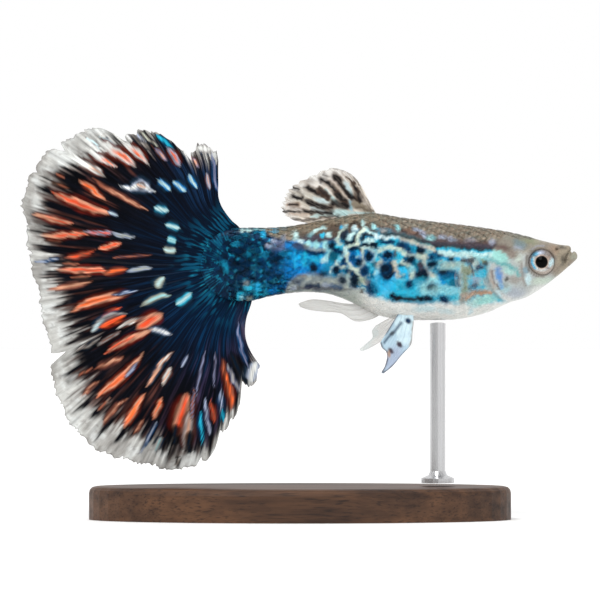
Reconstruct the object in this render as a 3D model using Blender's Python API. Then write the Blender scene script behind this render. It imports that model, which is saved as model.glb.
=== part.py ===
"""Male fancy guppy with a wide fan tail, as a life-size still model on a display stand.

Metres, +Z up. The head points along +X and the fish's right side faces -Y. The origin is the
centre of the stand's underside. Lengths below are in millimetres, in the fish's own frame,
whose origin lies on the fish's midline, AXIS_HEIGHT above the floor.
"""

import math

import bmesh
import bpy
from mathutils import Matrix, Vector, noise

MM = 0.001
GAP = 0.3  # room between two neighbouring solids

# Stand
BASE_LENGTH = 38.0
BASE_WIDTH = 18.0
BASE_HEIGHT = 3.0
BASE_EDGE_ROUND = 0.6
ROD_X = 12.4
ROD_RADIUS = 0.7
ROD_FOOT_RADIUS = 1.5
ROD_FOOT_HEIGHT = 0.7
AXIS_HEIGHT = 22.9

# Body, as stations from the tail stalk to the snout:
# x, height of the back, depth of the belly, half width, height of the widest line
BODY_STATIONS = [
    (-5.7, 3.30, -3.24, 1.00, 0.0),
    (-4.5, 3.33, -3.22, 1.12, 0.1),
    (-2.7, 3.33, -2.78, 1.30, 0.2),
    (-0.9, 3.47, -2.50, 1.50, 0.3),
    (0.9, 3.80, -2.42, 1.68, 0.4),
    (2.7, 4.12, -2.62, 1.86, 0.4),
    (4.5, 4.43, -3.28, 2.02, 0.2),
    (6.8, 4.62, -4.42, 2.22, -0.1),
    (9.0, 4.27, -4.88, 2.36, -0.4),
    (12.1, 3.87, -4.94, 2.46, -0.5),
    (14.4, 3.61, -4.82, 2.50, -0.5),
    (16.8, 3.28, -4.26, 2.50, -0.4),
    (18.9, 2.92, -3.36, 2.44, -0.2),
    (20.4, 2.56, -2.88, 2.30, 0.1),
    (22.0, 2.14, -1.88, 2.02, 0.3),
    (23.4, 1.78, -0.80, 1.56, 0.5),
    (24.2, 1.62, -0.08, 1.18, 0.7),
    (24.6, 1.42, 0.22, 0.92, 0.75),
    (24.9, 1.10, 0.55, 0.45, 0.8),
]
STALK_END_X = -5.7  # centre of the stalk's round end, and of the tail fan
STALK_END_RADIUS = 3.24
STALK_END_WIDTH = 0.52
STALK_RIM = 0.34  # half thickness of the stalk's rim, where the tail fin meets it
BACK_STRIP = 0.06  # half width of the flat line along the back and belly
SIDE_POINTS = 15  # points down each side of a ring

# Gill cover: its rear edge parts the head from the torso, and bulges to the rear
GILL_EDGE_X = 18.75
GILL_EDGE_BULGE = 1.95
GILL_EDGE_REACH = 2.9
GILL_STEP = 0.12  # how far the gill cover stands proud
STALK_CUT_X = -0.85

# Eyes and nostrils
EYE = Vector((21.65, 1.54, 0.26))
EYE_RADII = Vector((1.2, 0.78, 1.22))
NOSTRIL_X = 23.15
NOSTRIL_TURN = 50.0  # degrees up the snout's side
NOSTRIL_RADIUS = 0.2

# Mouth: a slit that opens upwards, with its corners swept back
MOUTH_TOP = Vector((24.62, 0.0, 1.75))
MOUTH_BOTTOM = Vector((23.98, 0.0, 0.36))
MOUTH_HALF_WIDTH = 1.7
MOUTH_SWEEP = 0.24  # how far the corners lie behind the middle, per mm of width squared
MOUTH_OPENING = 0.34
MOUTH_CLOSED = 0.16
LIP_SWELL = 0.09
LIP_SPREAD = 0.3

# Fins: full thickness of membrane and rays
MEMBRANE = 0.5
MEMBRANE_TIP = 0.34
RAY = 0.82
RAY_TIP = 0.5
ROOT_SINK = 0.8  # how far a fin is built into the body before it is cut clear of it

# Tail fan: reach of its margin from the stalk's round end centre, by direction in degrees,
# 0 straight back and positive upwards
TAIL_RAYS = 24
TAIL_ROWS = 14
TAIL_START = 2.7
TAIL_LOW, TAIL_HIGH = -104.0, 80.0
# Direction of the fan's two outer edges at each reach
TAIL_UPPER_EDGE = [(2.7, 103), (3.4, 94), (4.0, 84), (5.1, 76.7), (6.2, 75.0), (7.6, 77.5), (9.5, 80)]
TAIL_LOWER_EDGE = [(2.7, -122), (3.5, -113), (4.6, -102), (5.8, -97.5), (7.1, -97.6), (9.2, -103)]
TAIL_REACH = [
    (-104, 9.4), (-99, 10.8), (-94, 11.0), (-91, 13.0), (-88, 14.4), (-85, 15.5),
    (-82.5, 17.5), (-76, 19.1), (-66, 19.8), (-57, 20.5), (-51, 21.0), (-42, 20.5),
    (-35, 20.0), (-28.5, 19.0), (-19, 18.1), (-8, 18.1), (1, 18.5), (10, 19.3),
    (19, 20.25), (28, 20.0), (37, 19.0), (44.5, 17.7), (48, 15.7), (55, 14.7),
    (60, 13.6), (66, 11.2), (74, 11.3), (80, 10.4),
]
# Tears in the margin: direction, depth, half width in degrees
TAIL_NOTCHES = [
    (-93.5, 0.7, 1.6), (-85.0, 0.6, 1.5), (-80.0, 0.5, 1.5), (-27.0, 1.6, 1.6), (33.5, 0.7, 1.6),
    (48.0, 0.7, 1.6), (66.5, 0.5, 1.6),
]
TAIL_FRAY = 0.3  # size of the small teeth along the margin
FRAY_SEED = 7.0

# Dorsal fin: tips of its rays from front to rear, and its root on the back
DORSAL_RAYS = 8
DORSAL_ROWS = 7
DORSAL_FRONT, DORSAL_REAR = 7.4, 2.9
DORSAL_FRONT_EDGE = [(7.4, 3.7), (6.85, 4.6), (6.25, 5.65), (5.65, 6.85), (5.15, 7.65), (4.59, 8.19)]
DORSAL_TIPS = [
    (4.59, 8.19), (3.78, 8.57), (2.70, 8.75), (1.08, 8.10), (-0.45, 7.34), (-1.17, 6.66),
    (-1.44, 6.03), (-1.73, 5.22), (-1.44, 4.55), (-0.63, 4.02),
]

# Anal fin, a male's gonopodium, pointing back: its two edges from the belly to the tip
ANAL_RAYS = 4
ANAL_ROWS = 9
ANAL_UPPER_EDGE = [
    (6.2, -3.0), (5.1, -3.45), (4.0, -3.45), (2.4, -3.2), (1.1, -3.1), (0.15, -3.35), (-0.12, -3.5),
]
ANAL_LOWER_EDGE = [
    (7.6, -4.2), (6.5, -4.85), (5.0, -5.06), (3.7, -4.35), (2.2, -4.2), (0.8, -4.02), (-0.02, -3.76),
]

# Pelvic fins: tips in each fin's own plane, from front to rear
PELVIC_RAYS = 5
PELVIC_ROWS = 8
PELVIC_ROOT = Vector((9.5, 0.95, -4.3))
PELVIC_ROOT_WIDTH = 1.3
PELVIC_SPLAY = 20.0
PELVIC_RIGHT_TIPS = [
    (-2.03, -5.77), (-2.2, -5.6), (-1.9, -5.0), (-1.7, -4.1), (-1.8, -3.6), (-2.15, -3.27),
    (-2.3, -2.85),
]
PELVIC_RIGHT_EDGE = [
    (0.65, 0.0), (0.7, -0.9), (0.6, -1.8), (0.5, -2.85), (0.2, -3.35), (-0.45, -4.1), (-1.2, -5.05),
    (-2.03, -5.77),
]
PELVIC_LEFT_TIPS = [
    (-3.9, -3.75), (-4.05, -3.55), (-3.5, -3.05), (-2.95, -2.5), (-2.98, -1.8), (-2.66, -1.25),
]
PELVIC_LEFT_EDGE = [(0.65, 0.0), (-0.3, -1.3), (-1.6, -2.35), (-2.9, -3.2), (-3.9, -3.75)]

# Pectoral fins: behind the gill cover, spread from the flank
PECTORAL_RAYS = 8
PECTORAL_ROWS = 6
PECTORAL_ROOT = Vector((16.9, 2.05, -0.9))
PECTORAL_ROOT_HEIGHT = 1.2
PECTORAL_LENGTH = 4.4
PECTORAL_SPREAD = 48.0
PECTORAL_FAN_UP, PECTORAL_FAN_DOWN = 24.0, -34.0

COLOURS = {
    "back_olive": ((0.33, 0.31, 0.24, 1), 0.35),
    "flank_turquoise": ((0.10, 0.52, 0.68, 1), 0.3),
    "stalk_blue": ((0.01, 0.10, 0.26, 1), 0.3),
    "tail_navy": ((0.02, 0.03, 0.09, 1), 0.4),
    "fin_spotted": ((0.66, 0.64, 0.58, 1), 0.4),
    "fin_clear": ((0.72, 0.72, 0.68, 1), 0.35),
    "fin_blue": ((0.55, 0.72, 0.86, 1), 0.35),
    "eye": ((0.03, 0.03, 0.03, 1), 0.1),
    "wood": ((0.11, 0.055, 0.03, 1), 0.5),
    "steel": ((0.6, 0.6, 0.62, 1), 0.25),
}


def clear_scene():
    for obj in list(bpy.data.objects):
        bpy.data.objects.remove(obj)


def material(name):
    made = bpy.data.materials.get(name)
    if made:
        return made
    colour, roughness = COLOURS[name]
    made = bpy.data.materials.new(name)
    made.use_nodes = True
    shader = made.node_tree.nodes["Principled BSDF"]
    shader.inputs["Base Color"].default_value = colour
    shader.inputs["Roughness"].default_value = roughness
    shader.inputs["Metallic"].default_value = 1.0 if name == "steel" else 0.0
    return made


def add_object(name, bm, material_name, parent=None):
    """Scales a bmesh from millimetres to metres and makes it a named object."""
    bmesh.ops.scale(bm, vec=(MM, MM, MM), verts=bm.verts)
    mesh = bpy.data.meshes.new(name)
    bm.to_mesh(mesh)
    bm.free()
    mesh.shade_smooth()
    mesh.set_sharp_from_angle(angle=math.radians(40))
    mesh.materials.append(material(material_name))
    obj = bpy.data.objects.new(name, mesh)
    bpy.context.scene.collection.objects.link(obj)
    obj.parent = parent
    return obj


def smooth_between(stations, x, column=1):
    """A value of the stations at x, on a smooth curve through them."""
    last = len(stations) - 1
    if x <= stations[0][0]:
        return stations[0][column]
    if x >= stations[last][0]:
        return stations[last][column]
    i = max(k for k in range(last) if stations[k][0] <= x)

    def slope(k):
        before, after = stations[max(k - 1, 0)], stations[min(k + 1, last)]
        return (after[column] - before[column]) / (after[0] - before[0])

    x0, x1 = stations[i][0], stations[i + 1][0]
    y0, y1 = stations[i][column], stations[i + 1][column]
    step = x1 - x0
    t = (x - x0) / step
    return (
        y0 * (1 + 2 * t) * (1 - t) ** 2
        + y1 * t * t * (3 - 2 * t)
        + slope(i) * step * t * (1 - t) ** 2
        - slope(i + 1) * step * t * t * (1 - t)
    )


def ramp(x, low, high):
    t = min(max((x - low) / (high - low), 0.0), 1.0)
    return t * t * (3 - 2 * t)


def body_sizes(x, grow=0.0):
    """(top, bottom, half width, widest height, half rim) of the body at x."""
    top = smooth_between(BODY_STATIONS, x, 1)
    bottom = smooth_between(BODY_STATIONS, x, 2)
    width = smooth_between(BODY_STATIONS, x, 3)
    middle = smooth_between(BODY_STATIONS, x, 4)
    rim = BACK_STRIP + (STALK_RIM - BACK_STRIP) * ramp(-x, 3.4, -STALK_END_X)
    if x < STALK_END_X:
        radius = STALK_END_RADIUS + grow
        across = math.sqrt(max(radius**2 - (STALK_END_X - x) ** 2, 0.0))
        share = (STALK_END_X - x) / radius
        width = width + (STALK_END_WIDTH - width) * share
        return across, -across, width + grow, 0.0, rim + grow
    return top + grow, bottom - grow, width + grow, middle, rim + grow * 0.5


def gill_step(x, x_mid):
    """How far the gill cover's rear part stands proud of the torso behind it."""
    return GILL_STEP * ramp(x_mid, GILL_EDGE_X - 0.05, GILL_EDGE_X + 0.05) * (
        1 - ramp(x_mid, GILL_EDGE_X + 0.4, GILL_EDGE_X + 2.2)
    )


def body_point(x_mid, side, turn, grow=0.0):
    """A point of the body's surface. x_mid is the ring's place on the back and belly, side is
    1 or -1, and turn runs from -90 degrees on the belly to 90 on the back."""
    rise = math.sin(turn)
    bulge = GILL_EDGE_BULGE * math.exp(-(((x_mid - GILL_EDGE_X) / GILL_EDGE_REACH) ** 2))
    x = x_mid - bulge * (1 - rise * rise)
    top, bottom, width, middle, rim = body_sizes(x, grow)
    head = ramp(x, 17.0, 21.5)
    flat = 1.0 - 0.24 * head if rise > 0 else 1.0 - 0.12 * head
    fullness = 1.0 - 0.2 * head
    height = middle + (top - middle if rise > 0 else middle - bottom) * math.copysign(
        abs(rise) ** flat, rise
    )
    spread = math.cos(turn) ** fullness
    reach = rim + (width - rim + gill_step(x, x_mid)) * spread
    lip_x = 24.35 - MOUTH_SWEEP * reach * reach
    lip = LIP_SWELL * math.exp(-(((x - lip_x) / LIP_SPREAD) ** 2)) if x > 22 else 0.0
    return Vector((x, side * (reach + lip * spread), height + lip * rise))


def body_solid(x_values, grow=0.0):
    """A closed length of the body with a ring at each x."""
    bm = bmesh.new()
    turns = [
        -math.pi / 2 + math.pi * k / (SIDE_POINTS - 1) for k in range(SIDE_POINTS)
    ]
    rings = []
    for x in x_values:
        right = [bm.verts.new(body_point(x, -1, t, grow)) for t in turns]
        left = [bm.verts.new(body_point(x, 1, t, grow)) for t in reversed(turns)]
        rings.append(right + left)
    for ring, following in zip(rings, rings[1:]):
        for k in range(len(ring)):
            after = (k + 1) % len(ring)
            bm.faces.new((ring[k], ring[after], following[after], following[k]))
    for ring in (rings[0], rings[-1]):
        for k in range(SIDE_POINTS - 1):
            bm.faces.new((ring[k], ring[k + 1], ring[-k - 2], ring[-k - 1]))
    bmesh.ops.recalc_face_normals(bm, faces=bm.faces)
    bmesh.ops.triangulate(bm, faces=bm.faces)
    return bm


def spaced(low, high, count):
    return [low + (high - low) * k / (count - 1) for k in range(count)]


def stalk_rings():
    """Ring places from the stalk's round end to its cut."""
    turned = [math.radians(a) for a in (80, 70, 58, 44, 30, 15)]
    end = [STALK_END_X - STALK_END_RADIUS * math.sin(a) for a in turned]
    return end + spaced(STALK_END_X, STALK_CUT_X - GAP / 2, 7)


def ellipsoid(centre, radii, segments=20, rings=12):
    bm = bmesh.new()
    bmesh.ops.create_uvsphere(bm, u_segments=segments, v_segments=rings, radius=1.0)
    turn = Matrix.Rotation(math.radians(90), 4, "X")
    bmesh.ops.transform(bm, matrix=turn, verts=bm.verts)
    bmesh.ops.scale(bm, vec=radii, verts=bm.verts)
    bmesh.ops.translate(bm, vec=centre, verts=bm.verts)
    return bm


def helper(name, bm, parent):
    """A cutter, which the model leaves out."""
    obj = add_object(name, bm, "back_olive", parent)
    obj.hide_render = True
    obj.display_type = "WIRE"
    return obj


def keep_largest(bm):
    """Deletes every loose scrap but the largest closed surface."""
    left = set(bm.verts)
    islands = []
    while left:
        edge = [left.pop()]
        island = set(edge)
        while edge:
            for link in edge.pop().link_edges:
                for vert in link.verts:
                    if vert in left:
                        left.discard(vert)
                        island.add(vert)
                        edge.append(vert)
        islands.append(island)
    largest = max(islands, key=len)
    scraps = [v for v in bm.verts if v not in largest]
    bmesh.ops.delete(bm, geom=scraps, context="VERTS")


def cut_clear(obj, cutters):
    """Cuts the cutters from the object and applies the cuts."""
    for cutter in cutters:
        cut = obj.modifiers.new("clear_of_" + cutter.name, "BOOLEAN")
        cut.operation = "DIFFERENCE"
        cut.solver = "EXACT"
        cut.object = cutter
    bpy.context.view_layer.update()
    graph = bpy.context.evaluated_depsgraph_get()
    bm = bmesh.new()
    bm.from_mesh(obj.evaluated_get(graph).to_mesh())
    obj.modifiers.clear()
    keep_largest(bm)
    bmesh.ops.triangulate(bm, faces=bm.faces)
    bm.to_mesh(obj.data)
    bm.free()


def ray_columns(rays):
    """(share across the fin, share of a ray's spacing off that ray, is on a ray) for each
    column: a valley, then a ray's two branches with the fork between them."""
    columns = []
    for k in range(rays):
        centre = (k + 0.5) / rays
        columns += [(k / rays, 0.0, "valley"), (centre, -1.0, "branch")]
        columns += [(centre, 0.0, "fork"), (centre, 1.0, "branch")]
    return columns + [(1.0, 0.0, "valley")]


def rayed_fin(rays, rows, place, fork_at=0.42):
    """A closed fin whose rays are ridges that fork once.

    place(across, along) gives the middle surface's (x, z) in the fin's plane and its bow off
    that plane, with along 0 at the root and 1 at the margin.
    """
    columns = ray_columns(rays)
    bm = bmesh.new()
    bmesh.ops.create_grid(bm, x_segments=len(columns) - 1, y_segments=rows, size=0.5)
    bmesh.ops.triangulate(bm, faces=bm.faces)
    half = {}
    for vert in bm.verts:
        column = columns[round((vert.co.x + 0.5) * (len(columns) - 1))]
        along = min(max(vert.co.y + 0.5, 0.0), 1.0)
        forked = ramp(along, fork_at - 0.15, fork_at + 0.25)
        branch = (0.13 + 0.12 * forked) / rays
        x, z, bow = place(column[0] + column[1] * branch, along)
        membrane = MEMBRANE + (MEMBRANE_TIP - MEMBRANE) * ramp(along, 0.85, 1.0)
        ray = RAY + (RAY_TIP - RAY) * along
        if column[2] == "valley":
            full = membrane
        elif column[2] == "fork":
            full = ray + (membrane - ray) * forked
        else:
            full = max(ray - 0.08 * (1 - forked), membrane)
        vert.co = (x, bow, z)
        half[vert] = full / 2
    sheet = list(bm.faces)
    made = bmesh.ops.extrude_face_region(bm, geom=sheet)["geom"]
    far = {v for v in made if isinstance(v, bmesh.types.BMVert)}
    thickness = {tuple(v.co): h for v, h in half.items()}
    for vert in bm.verts:
        shift = thickness[tuple(vert.co)]
        vert.co.y += shift if vert in far else -shift
    bmesh.ops.recalc_face_normals(bm, faces=bm.faces)
    return bm


def point_along(points, share):
    """The point at that share of an evenly spaced list, on a smooth curve."""
    stations = [(k, *point) for k, point in enumerate(points)]
    at = share * (len(points) - 1)
    return smooth_between(stations, at, 1), smooth_between(stations, at, 2)


def tail_reach(degrees):
    """Reach of the tail's margin in one direction, with its tears and small teeth."""
    reach = smooth_between(TAIL_REACH, degrees)
    for at, depth, half_width in TAIL_NOTCHES:
        reach -= depth * max(0.0, 1 - abs(degrees - at) / half_width)
    return reach + TAIL_FRAY * noise.noise(Vector((degrees * 0.33, FRAY_SEED, 0.0)))


def tail_bow(degrees, reach):
    """How far the tail's membrane swings off the fish's middle plane, in loose pleats."""
    out = ramp(reach, 5.0, 21.0)
    pleats = 0.62 * math.sin(math.radians(degrees * 8.5 + 35)) + 0.26 * math.sin(
        math.radians(degrees * 19)
    )
    curl = -1.1 * ramp(-degrees, 88, 104) * ramp(reach, 5.0, 9.5)
    sweep = 0.9 * out * out * math.cos(math.radians(degrees))
    return out * pleats + curl + sweep


def tail_place(across, along):
    degrees = TAIL_LOW + (TAIL_HIGH - TAIL_LOW) * across
    reach = TAIL_START + (tail_reach(degrees) - TAIL_START) * along
    upper = smooth_between(TAIL_UPPER_EDGE, reach) - TAIL_HIGH
    lower = smooth_between(TAIL_LOWER_EDGE, reach) - TAIL_LOW
    turned = math.radians(degrees + upper * across**5 + lower * (1 - across) ** 5)
    return (
        STALK_END_X - reach * math.cos(turned),
        reach * math.sin(turned),
        tail_bow(degrees, reach),
    )


def root_to_tip(root, tip, along):
    return root[0] + (tip[0] - root[0]) * along, root[1] + (tip[1] - root[1]) * along


def fanned(root, tips, front_edge, across, along):
    """A point of a fin whose rays run from its root to its tips. The first ray follows the
    front edge, and those behind it less and less."""
    x, z = root_to_tip(root, point_along(tips, across), along)
    edge_x, edge_z = point_along(front_edge, along)
    chord_x, chord_z = root_to_tip(front_edge[0], front_edge[-1], along)
    share = (1 - across) ** 2
    return x + (edge_x - chord_x) * share, z + (edge_z - chord_z) * share


def dorsal_place(across, along):
    x = DORSAL_FRONT + (DORSAL_REAR - DORSAL_FRONT) * across
    root = (x, smooth_between(BODY_STATIONS, x, 1) - ROOT_SINK)
    x, z = fanned(root, DORSAL_TIPS, DORSAL_FRONT_EDGE, across, along)
    return x, z, 0.35 * along * math.sin(math.radians(260 * across))


def anal_place(across, along):
    x0, z0 = point_along(ANAL_UPPER_EDGE, along)
    x1, z1 = point_along(ANAL_LOWER_EDGE, along)
    return x0 + (x1 - x0) * across, z0 + (z1 - z0) * across, 0.0


def pelvic_place(tips, front_edge):
    """The placing function of a pelvic fin, in its own plane about its root."""

    def place(across, along):
        root = (PELVIC_ROOT_WIDTH * (0.5 - across), 0.0)
        x, z = fanned(root, tips, front_edge, across, along)
        return x, z, 0.25 * along * math.sin(math.radians(180 * across))

    return place


def pectoral_place(across, along):
    """A pectoral fin in its own plane: a round-ended fan."""
    turned = math.radians(
        PECTORAL_FAN_DOWN + (PECTORAL_FAN_UP - PECTORAL_FAN_DOWN) * across
    )
    root = (0.0, PECTORAL_ROOT_HEIGHT * (across - 0.5))
    length = PECTORAL_LENGTH * (0.78 + 0.22 * math.sin(math.pi * across))
    tip = (-length * math.cos(turned), root[1] + length * math.sin(turned))
    x, z = root_to_tip(root, tip, along)
    return x, z, 0.3 * along * along * math.sin(math.pi * across)


def mouth_slit():
    """The mouth's slit as a thin curved wedge across the snout."""
    bm = bmesh.new()
    bmesh.ops.create_grid(bm, x_segments=10, y_segments=4, size=0.5)
    down = (MOUTH_BOTTOM - MOUTH_TOP).normalized()
    across = Vector((down.z, 0.0, -down.x)) * -1
    for vert in bm.verts:
        y = vert.co.x * 2 * MOUTH_HALF_WIDTH
        depth = 0.5 - vert.co.y
        vert.co = MOUTH_TOP.lerp(MOUTH_BOTTOM, depth) + Vector((-MOUTH_SWEEP * y * y, y, 0))
    sheet = list(bm.faces)
    made = bmesh.ops.extrude_face_region(bm, geom=sheet)["geom"]
    far = {v for v in made if isinstance(v, bmesh.types.BMVert)}
    for vert in bm.verts:
        depth = (MOUTH_TOP.z - vert.co.z) / (MOUTH_TOP.z - MOUTH_BOTTOM.z)
        width = MOUTH_OPENING + (MOUTH_CLOSED - MOUTH_OPENING) * depth
        vert.co += across * (width / 2 if vert in far else -width / 2)
    bmesh.ops.recalc_face_normals(bm, faces=bm.faces)
    return bm


def mirrored(point, side):
    return Vector((point.x, side * point.y, point.z))


def build_head(fish):
    """Head with gill covers, eye sockets, nostrils and mouth."""
    front = [23.0, 23.4, 23.75, 24.0, 24.2, 24.4, 24.6, 24.76, 24.9]
    rings = spaced(GILL_EDGE_X + GAP / 2, 22.6, 10) + front
    head = add_object("head", body_solid(rings), "back_olive", fish)
    cutters = [helper("mouth_slit", mouth_slit(), fish)]
    for side in (1, -1):
        room = EYE_RADII + Vector((GAP, GAP, GAP))
        socket = ellipsoid(mirrored(EYE, side), room, 18, 10)
        cutters.append(helper(f"socket_{side}", socket, fish))
        radii = Vector((NOSTRIL_RADIUS,) * 3)
        centre = body_point(NOSTRIL_X, side, math.radians(NOSTRIL_TURN))
        nostril = ellipsoid(centre, radii, 10, 6)
        cutters.append(helper(f"nostril_{side}", nostril, fish))
    cut_clear(head, cutters)


def build_body(fish):
    torso = spaced(STALK_CUT_X + GAP / 2, GILL_EDGE_X - GAP / 2, 20)
    add_object("torso", body_solid(torso), "flank_turquoise", fish)
    add_object("tail_stalk", body_solid(stalk_rings()), "stalk_blue", fish)


def build_eyes(fish):
    for side, name in ((1, "eye_left"), (-1, "eye_right")):
        add_object(name, ellipsoid(mirrored(EYE, side), EYE_RADII), "eye", fish)


def build_fins(fish, body_room):
    """All fins, each cut clear of the body at its root."""
    fins = [
        add_object("tail_fin", rayed_fin(TAIL_RAYS, TAIL_ROWS, tail_place), "tail_navy", fish),
        add_object(
            "dorsal_fin", rayed_fin(DORSAL_RAYS, DORSAL_ROWS, dorsal_place), "fin_spotted", fish
        ),
        add_object("anal_fin", rayed_fin(ANAL_RAYS, ANAL_ROWS, anal_place), "fin_clear", fish),
    ]
    for side, name, tips, edge, colour in (
        (1, "left", PELVIC_LEFT_TIPS, PELVIC_LEFT_EDGE, "fin_clear"),
        (-1, "right", PELVIC_RIGHT_TIPS, PELVIC_RIGHT_EDGE, "fin_blue"),
    ):
        shape = rayed_fin(PELVIC_RAYS, PELVIC_ROWS, pelvic_place(tips, edge))
        pelvic = add_object("pelvic_fin_" + name, shape, colour, fish)
        pelvic.location = mirrored(PELVIC_ROOT, side) * MM
        pelvic.rotation_euler.x = side * math.radians(PELVIC_SPLAY)
        shape = rayed_fin(PECTORAL_RAYS, PECTORAL_ROWS, pectoral_place)
        pectoral = add_object("pectoral_fin_" + name, shape, "fin_clear", fish)
        pectoral.location = mirrored(PECTORAL_ROOT, side) * MM
        pectoral.rotation_euler.z = -side * math.radians(PECTORAL_SPREAD)
        fins += [pelvic, pectoral]
    for fin in fins:
        cut_clear(fin, [body_room])


def build_stand(fish, body_room):
    """A flat oval base, and one turned rod up to the belly."""
    bm = bmesh.new()
    bmesh.ops.create_cone(
        bm,
        cap_ends=True,
        segments=56,
        radius1=1.0,
        radius2=1.0,
        depth=BASE_HEIGHT,
        matrix=Matrix.Translation((0, 0, BASE_HEIGHT / 2)),
    )
    bmesh.ops.scale(bm, vec=(BASE_LENGTH / 2, BASE_WIDTH / 2, 1), verts=bm.verts)
    upper = [e for e in bm.edges if all(v.co.z > BASE_HEIGHT / 2 for v in e.verts)]
    bmesh.ops.bevel(
        bm,
        geom=upper,
        offset=BASE_EDGE_ROUND,
        segments=3,
        profile=0.5,
        affect="EDGES",
        material=-1,
    )
    add_object("stand_base", bm, "wood")

    foot = BASE_HEIGHT + GAP
    top = AXIS_HEIGHT - 3.5
    profile = [
        (0.0, foot),
        (ROD_FOOT_RADIUS, foot),
        (ROD_FOOT_RADIUS, foot + ROD_FOOT_HEIGHT * 0.6),
        (ROD_RADIUS * 1.2, foot + ROD_FOOT_HEIGHT),
        (ROD_RADIUS, foot + ROD_FOOT_HEIGHT * 1.5),
        (ROD_RADIUS, top),
        (0.0, top),
    ]
    bm = bmesh.new()
    verts = [bm.verts.new((radius, 0.0, height)) for radius, height in profile]
    edges = [bm.edges.new(pair) for pair in zip(verts, verts[1:])]
    bmesh.ops.spin(
        bm,
        geom=verts + edges,
        cent=(0, 0, 0),
        axis=(0, 0, 1),
        angle=2 * math.pi,
        steps=20,
        use_merge=True,
    )
    bmesh.ops.remove_doubles(bm, verts=bm.verts, dist=0.0001)
    bmesh.ops.recalc_face_normals(bm, faces=bm.faces)
    bmesh.ops.translate(bm, vec=(ROD_X, 0, 0), verts=bm.verts)
    rod = add_object("stand_rod", bm, "steel")
    cut_clear(rod, [body_room])


def main():
    clear_scene()
    fish = bpy.data.objects.new("fish", None)
    fish.location.z = AXIS_HEIGHT * MM
    bpy.context.scene.collection.objects.link(fish)
    build_head(fish)
    build_body(fish)
    build_eyes(fish)
    end = [
        STALK_END_X - (STALK_END_RADIUS + GAP) * math.sin(math.radians(a))
        for a in (86, 76, 64, 48, 32, 16)
    ]
    room = end + spaced(STALK_END_X, 24.9, 40)
    body_room = helper("body_room", body_solid(room, grow=GAP * 1.1), fish)
    build_fins(fish, body_room)
    build_stand(fish, body_room)


main()
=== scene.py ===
"""Looks of a life-size male fan-tail guppy, held over a display base by one rod.

Lengths are in millimetres in the fish's own frame unless a name says metres: x runs forward to
the snout, y to the fish's left and z up, with the origin on the fish's middle line.
"""

from __future__ import annotations

import logging
import math
from dataclasses import dataclass, field, replace
from enum import Enum
from typing import Callable

import bmesh
import bpy
import numpy as np
from mathutils import Matrix, Vector

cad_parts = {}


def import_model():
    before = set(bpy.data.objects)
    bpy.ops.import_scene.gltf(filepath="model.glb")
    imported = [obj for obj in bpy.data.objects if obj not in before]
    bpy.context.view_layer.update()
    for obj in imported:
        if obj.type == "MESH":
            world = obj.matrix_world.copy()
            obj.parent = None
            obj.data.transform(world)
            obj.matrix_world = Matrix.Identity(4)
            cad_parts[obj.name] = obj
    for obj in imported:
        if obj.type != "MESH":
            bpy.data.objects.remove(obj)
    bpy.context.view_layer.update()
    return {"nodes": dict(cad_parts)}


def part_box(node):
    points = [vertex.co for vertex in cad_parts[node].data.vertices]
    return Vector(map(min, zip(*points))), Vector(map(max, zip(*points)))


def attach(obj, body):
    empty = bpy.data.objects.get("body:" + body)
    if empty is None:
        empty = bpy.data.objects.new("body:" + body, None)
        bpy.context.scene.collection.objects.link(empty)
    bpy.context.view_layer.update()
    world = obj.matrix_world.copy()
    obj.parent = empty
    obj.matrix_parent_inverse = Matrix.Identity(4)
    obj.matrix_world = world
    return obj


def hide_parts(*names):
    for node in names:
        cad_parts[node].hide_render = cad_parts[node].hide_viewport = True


LOG = logging.getLogger("guppy")
Array = np.ndarray
Colour = tuple[float, float, float]
BMesh = bmesh.types.BMesh
Mesh = bpy.types.Mesh
Material = bpy.types.Material
Socket = bpy.types.NodeSocket

MM = 0.001  # metres
EYE_CENTRE = (21.65, 1.54, 0.26)
SQUARE = 0.09  # millimetres to a square of the drawing sheet
SHEET_COLUMN, SHEET_ROW = 300, 265  # where the fish's origin lies on it


class Side(Enum):
    """Which side of the fish a paired piece belongs to."""

    LEFT = 1
    RIGHT = -1


class Tint(Enum):
    """Colours of the guppy's markings, as linear red, green and blue."""

    INK = (0.0015, 0.009, 0.022)
    NAVY = (0.002, 0.024, 0.07)
    DEEP = (0.002, 0.055, 0.16)
    PETROL = (0.004, 0.085, 0.14)
    TEAL = (0.006, 0.22, 0.36)
    AZURE = (0.006, 0.212, 0.57)
    SKY = (0.02, 0.44, 0.74)
    CYAN = (0.022, 0.44, 0.64)
    PALE_CYAN = (0.32, 0.65, 0.68)
    ICE = (0.476, 0.686, 0.684)
    FROST = (0.504, 0.662, 0.695)
    CREAM = (0.54, 0.64, 0.54)
    SAND = (0.36, 0.38, 0.31)
    BEIGE = (0.50, 0.50, 0.42)
    MOSS = (0.22, 0.26, 0.14)
    OLIVE = (0.245, 0.205, 0.15)
    UMBER = (0.065, 0.043, 0.03)
    PLUM = (0.05, 0.04, 0.06)
    MAUVE = (0.22, 0.24, 0.38)
    LILAC = (0.36, 0.42, 0.55)
    SILVER = (0.42, 0.45, 0.44)
    MINT = (0.30, 0.64, 0.59)
    TURQUOISE = (0.055, 0.35, 0.36)
    LAPIS = (0.07, 0.26, 0.58)
    PEARL = (0.73, 0.74, 0.71)
    TAN = (0.37, 0.23, 0.15)
    DUST = (0.24, 0.20, 0.17)
    SOOT = (0.012, 0.010, 0.010)
    SMOKE = (0.42, 0.40, 0.39)
    RUSSET = (0.11, 0.065, 0.06)
    ORANGE = (0.92, 0.145, 0.035)
    RED = (0.87, 0.088, 0.028)
    PEACH = (0.72, 0.36, 0.23)
    RUST = (0.30, 0.095, 0.055)


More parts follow.
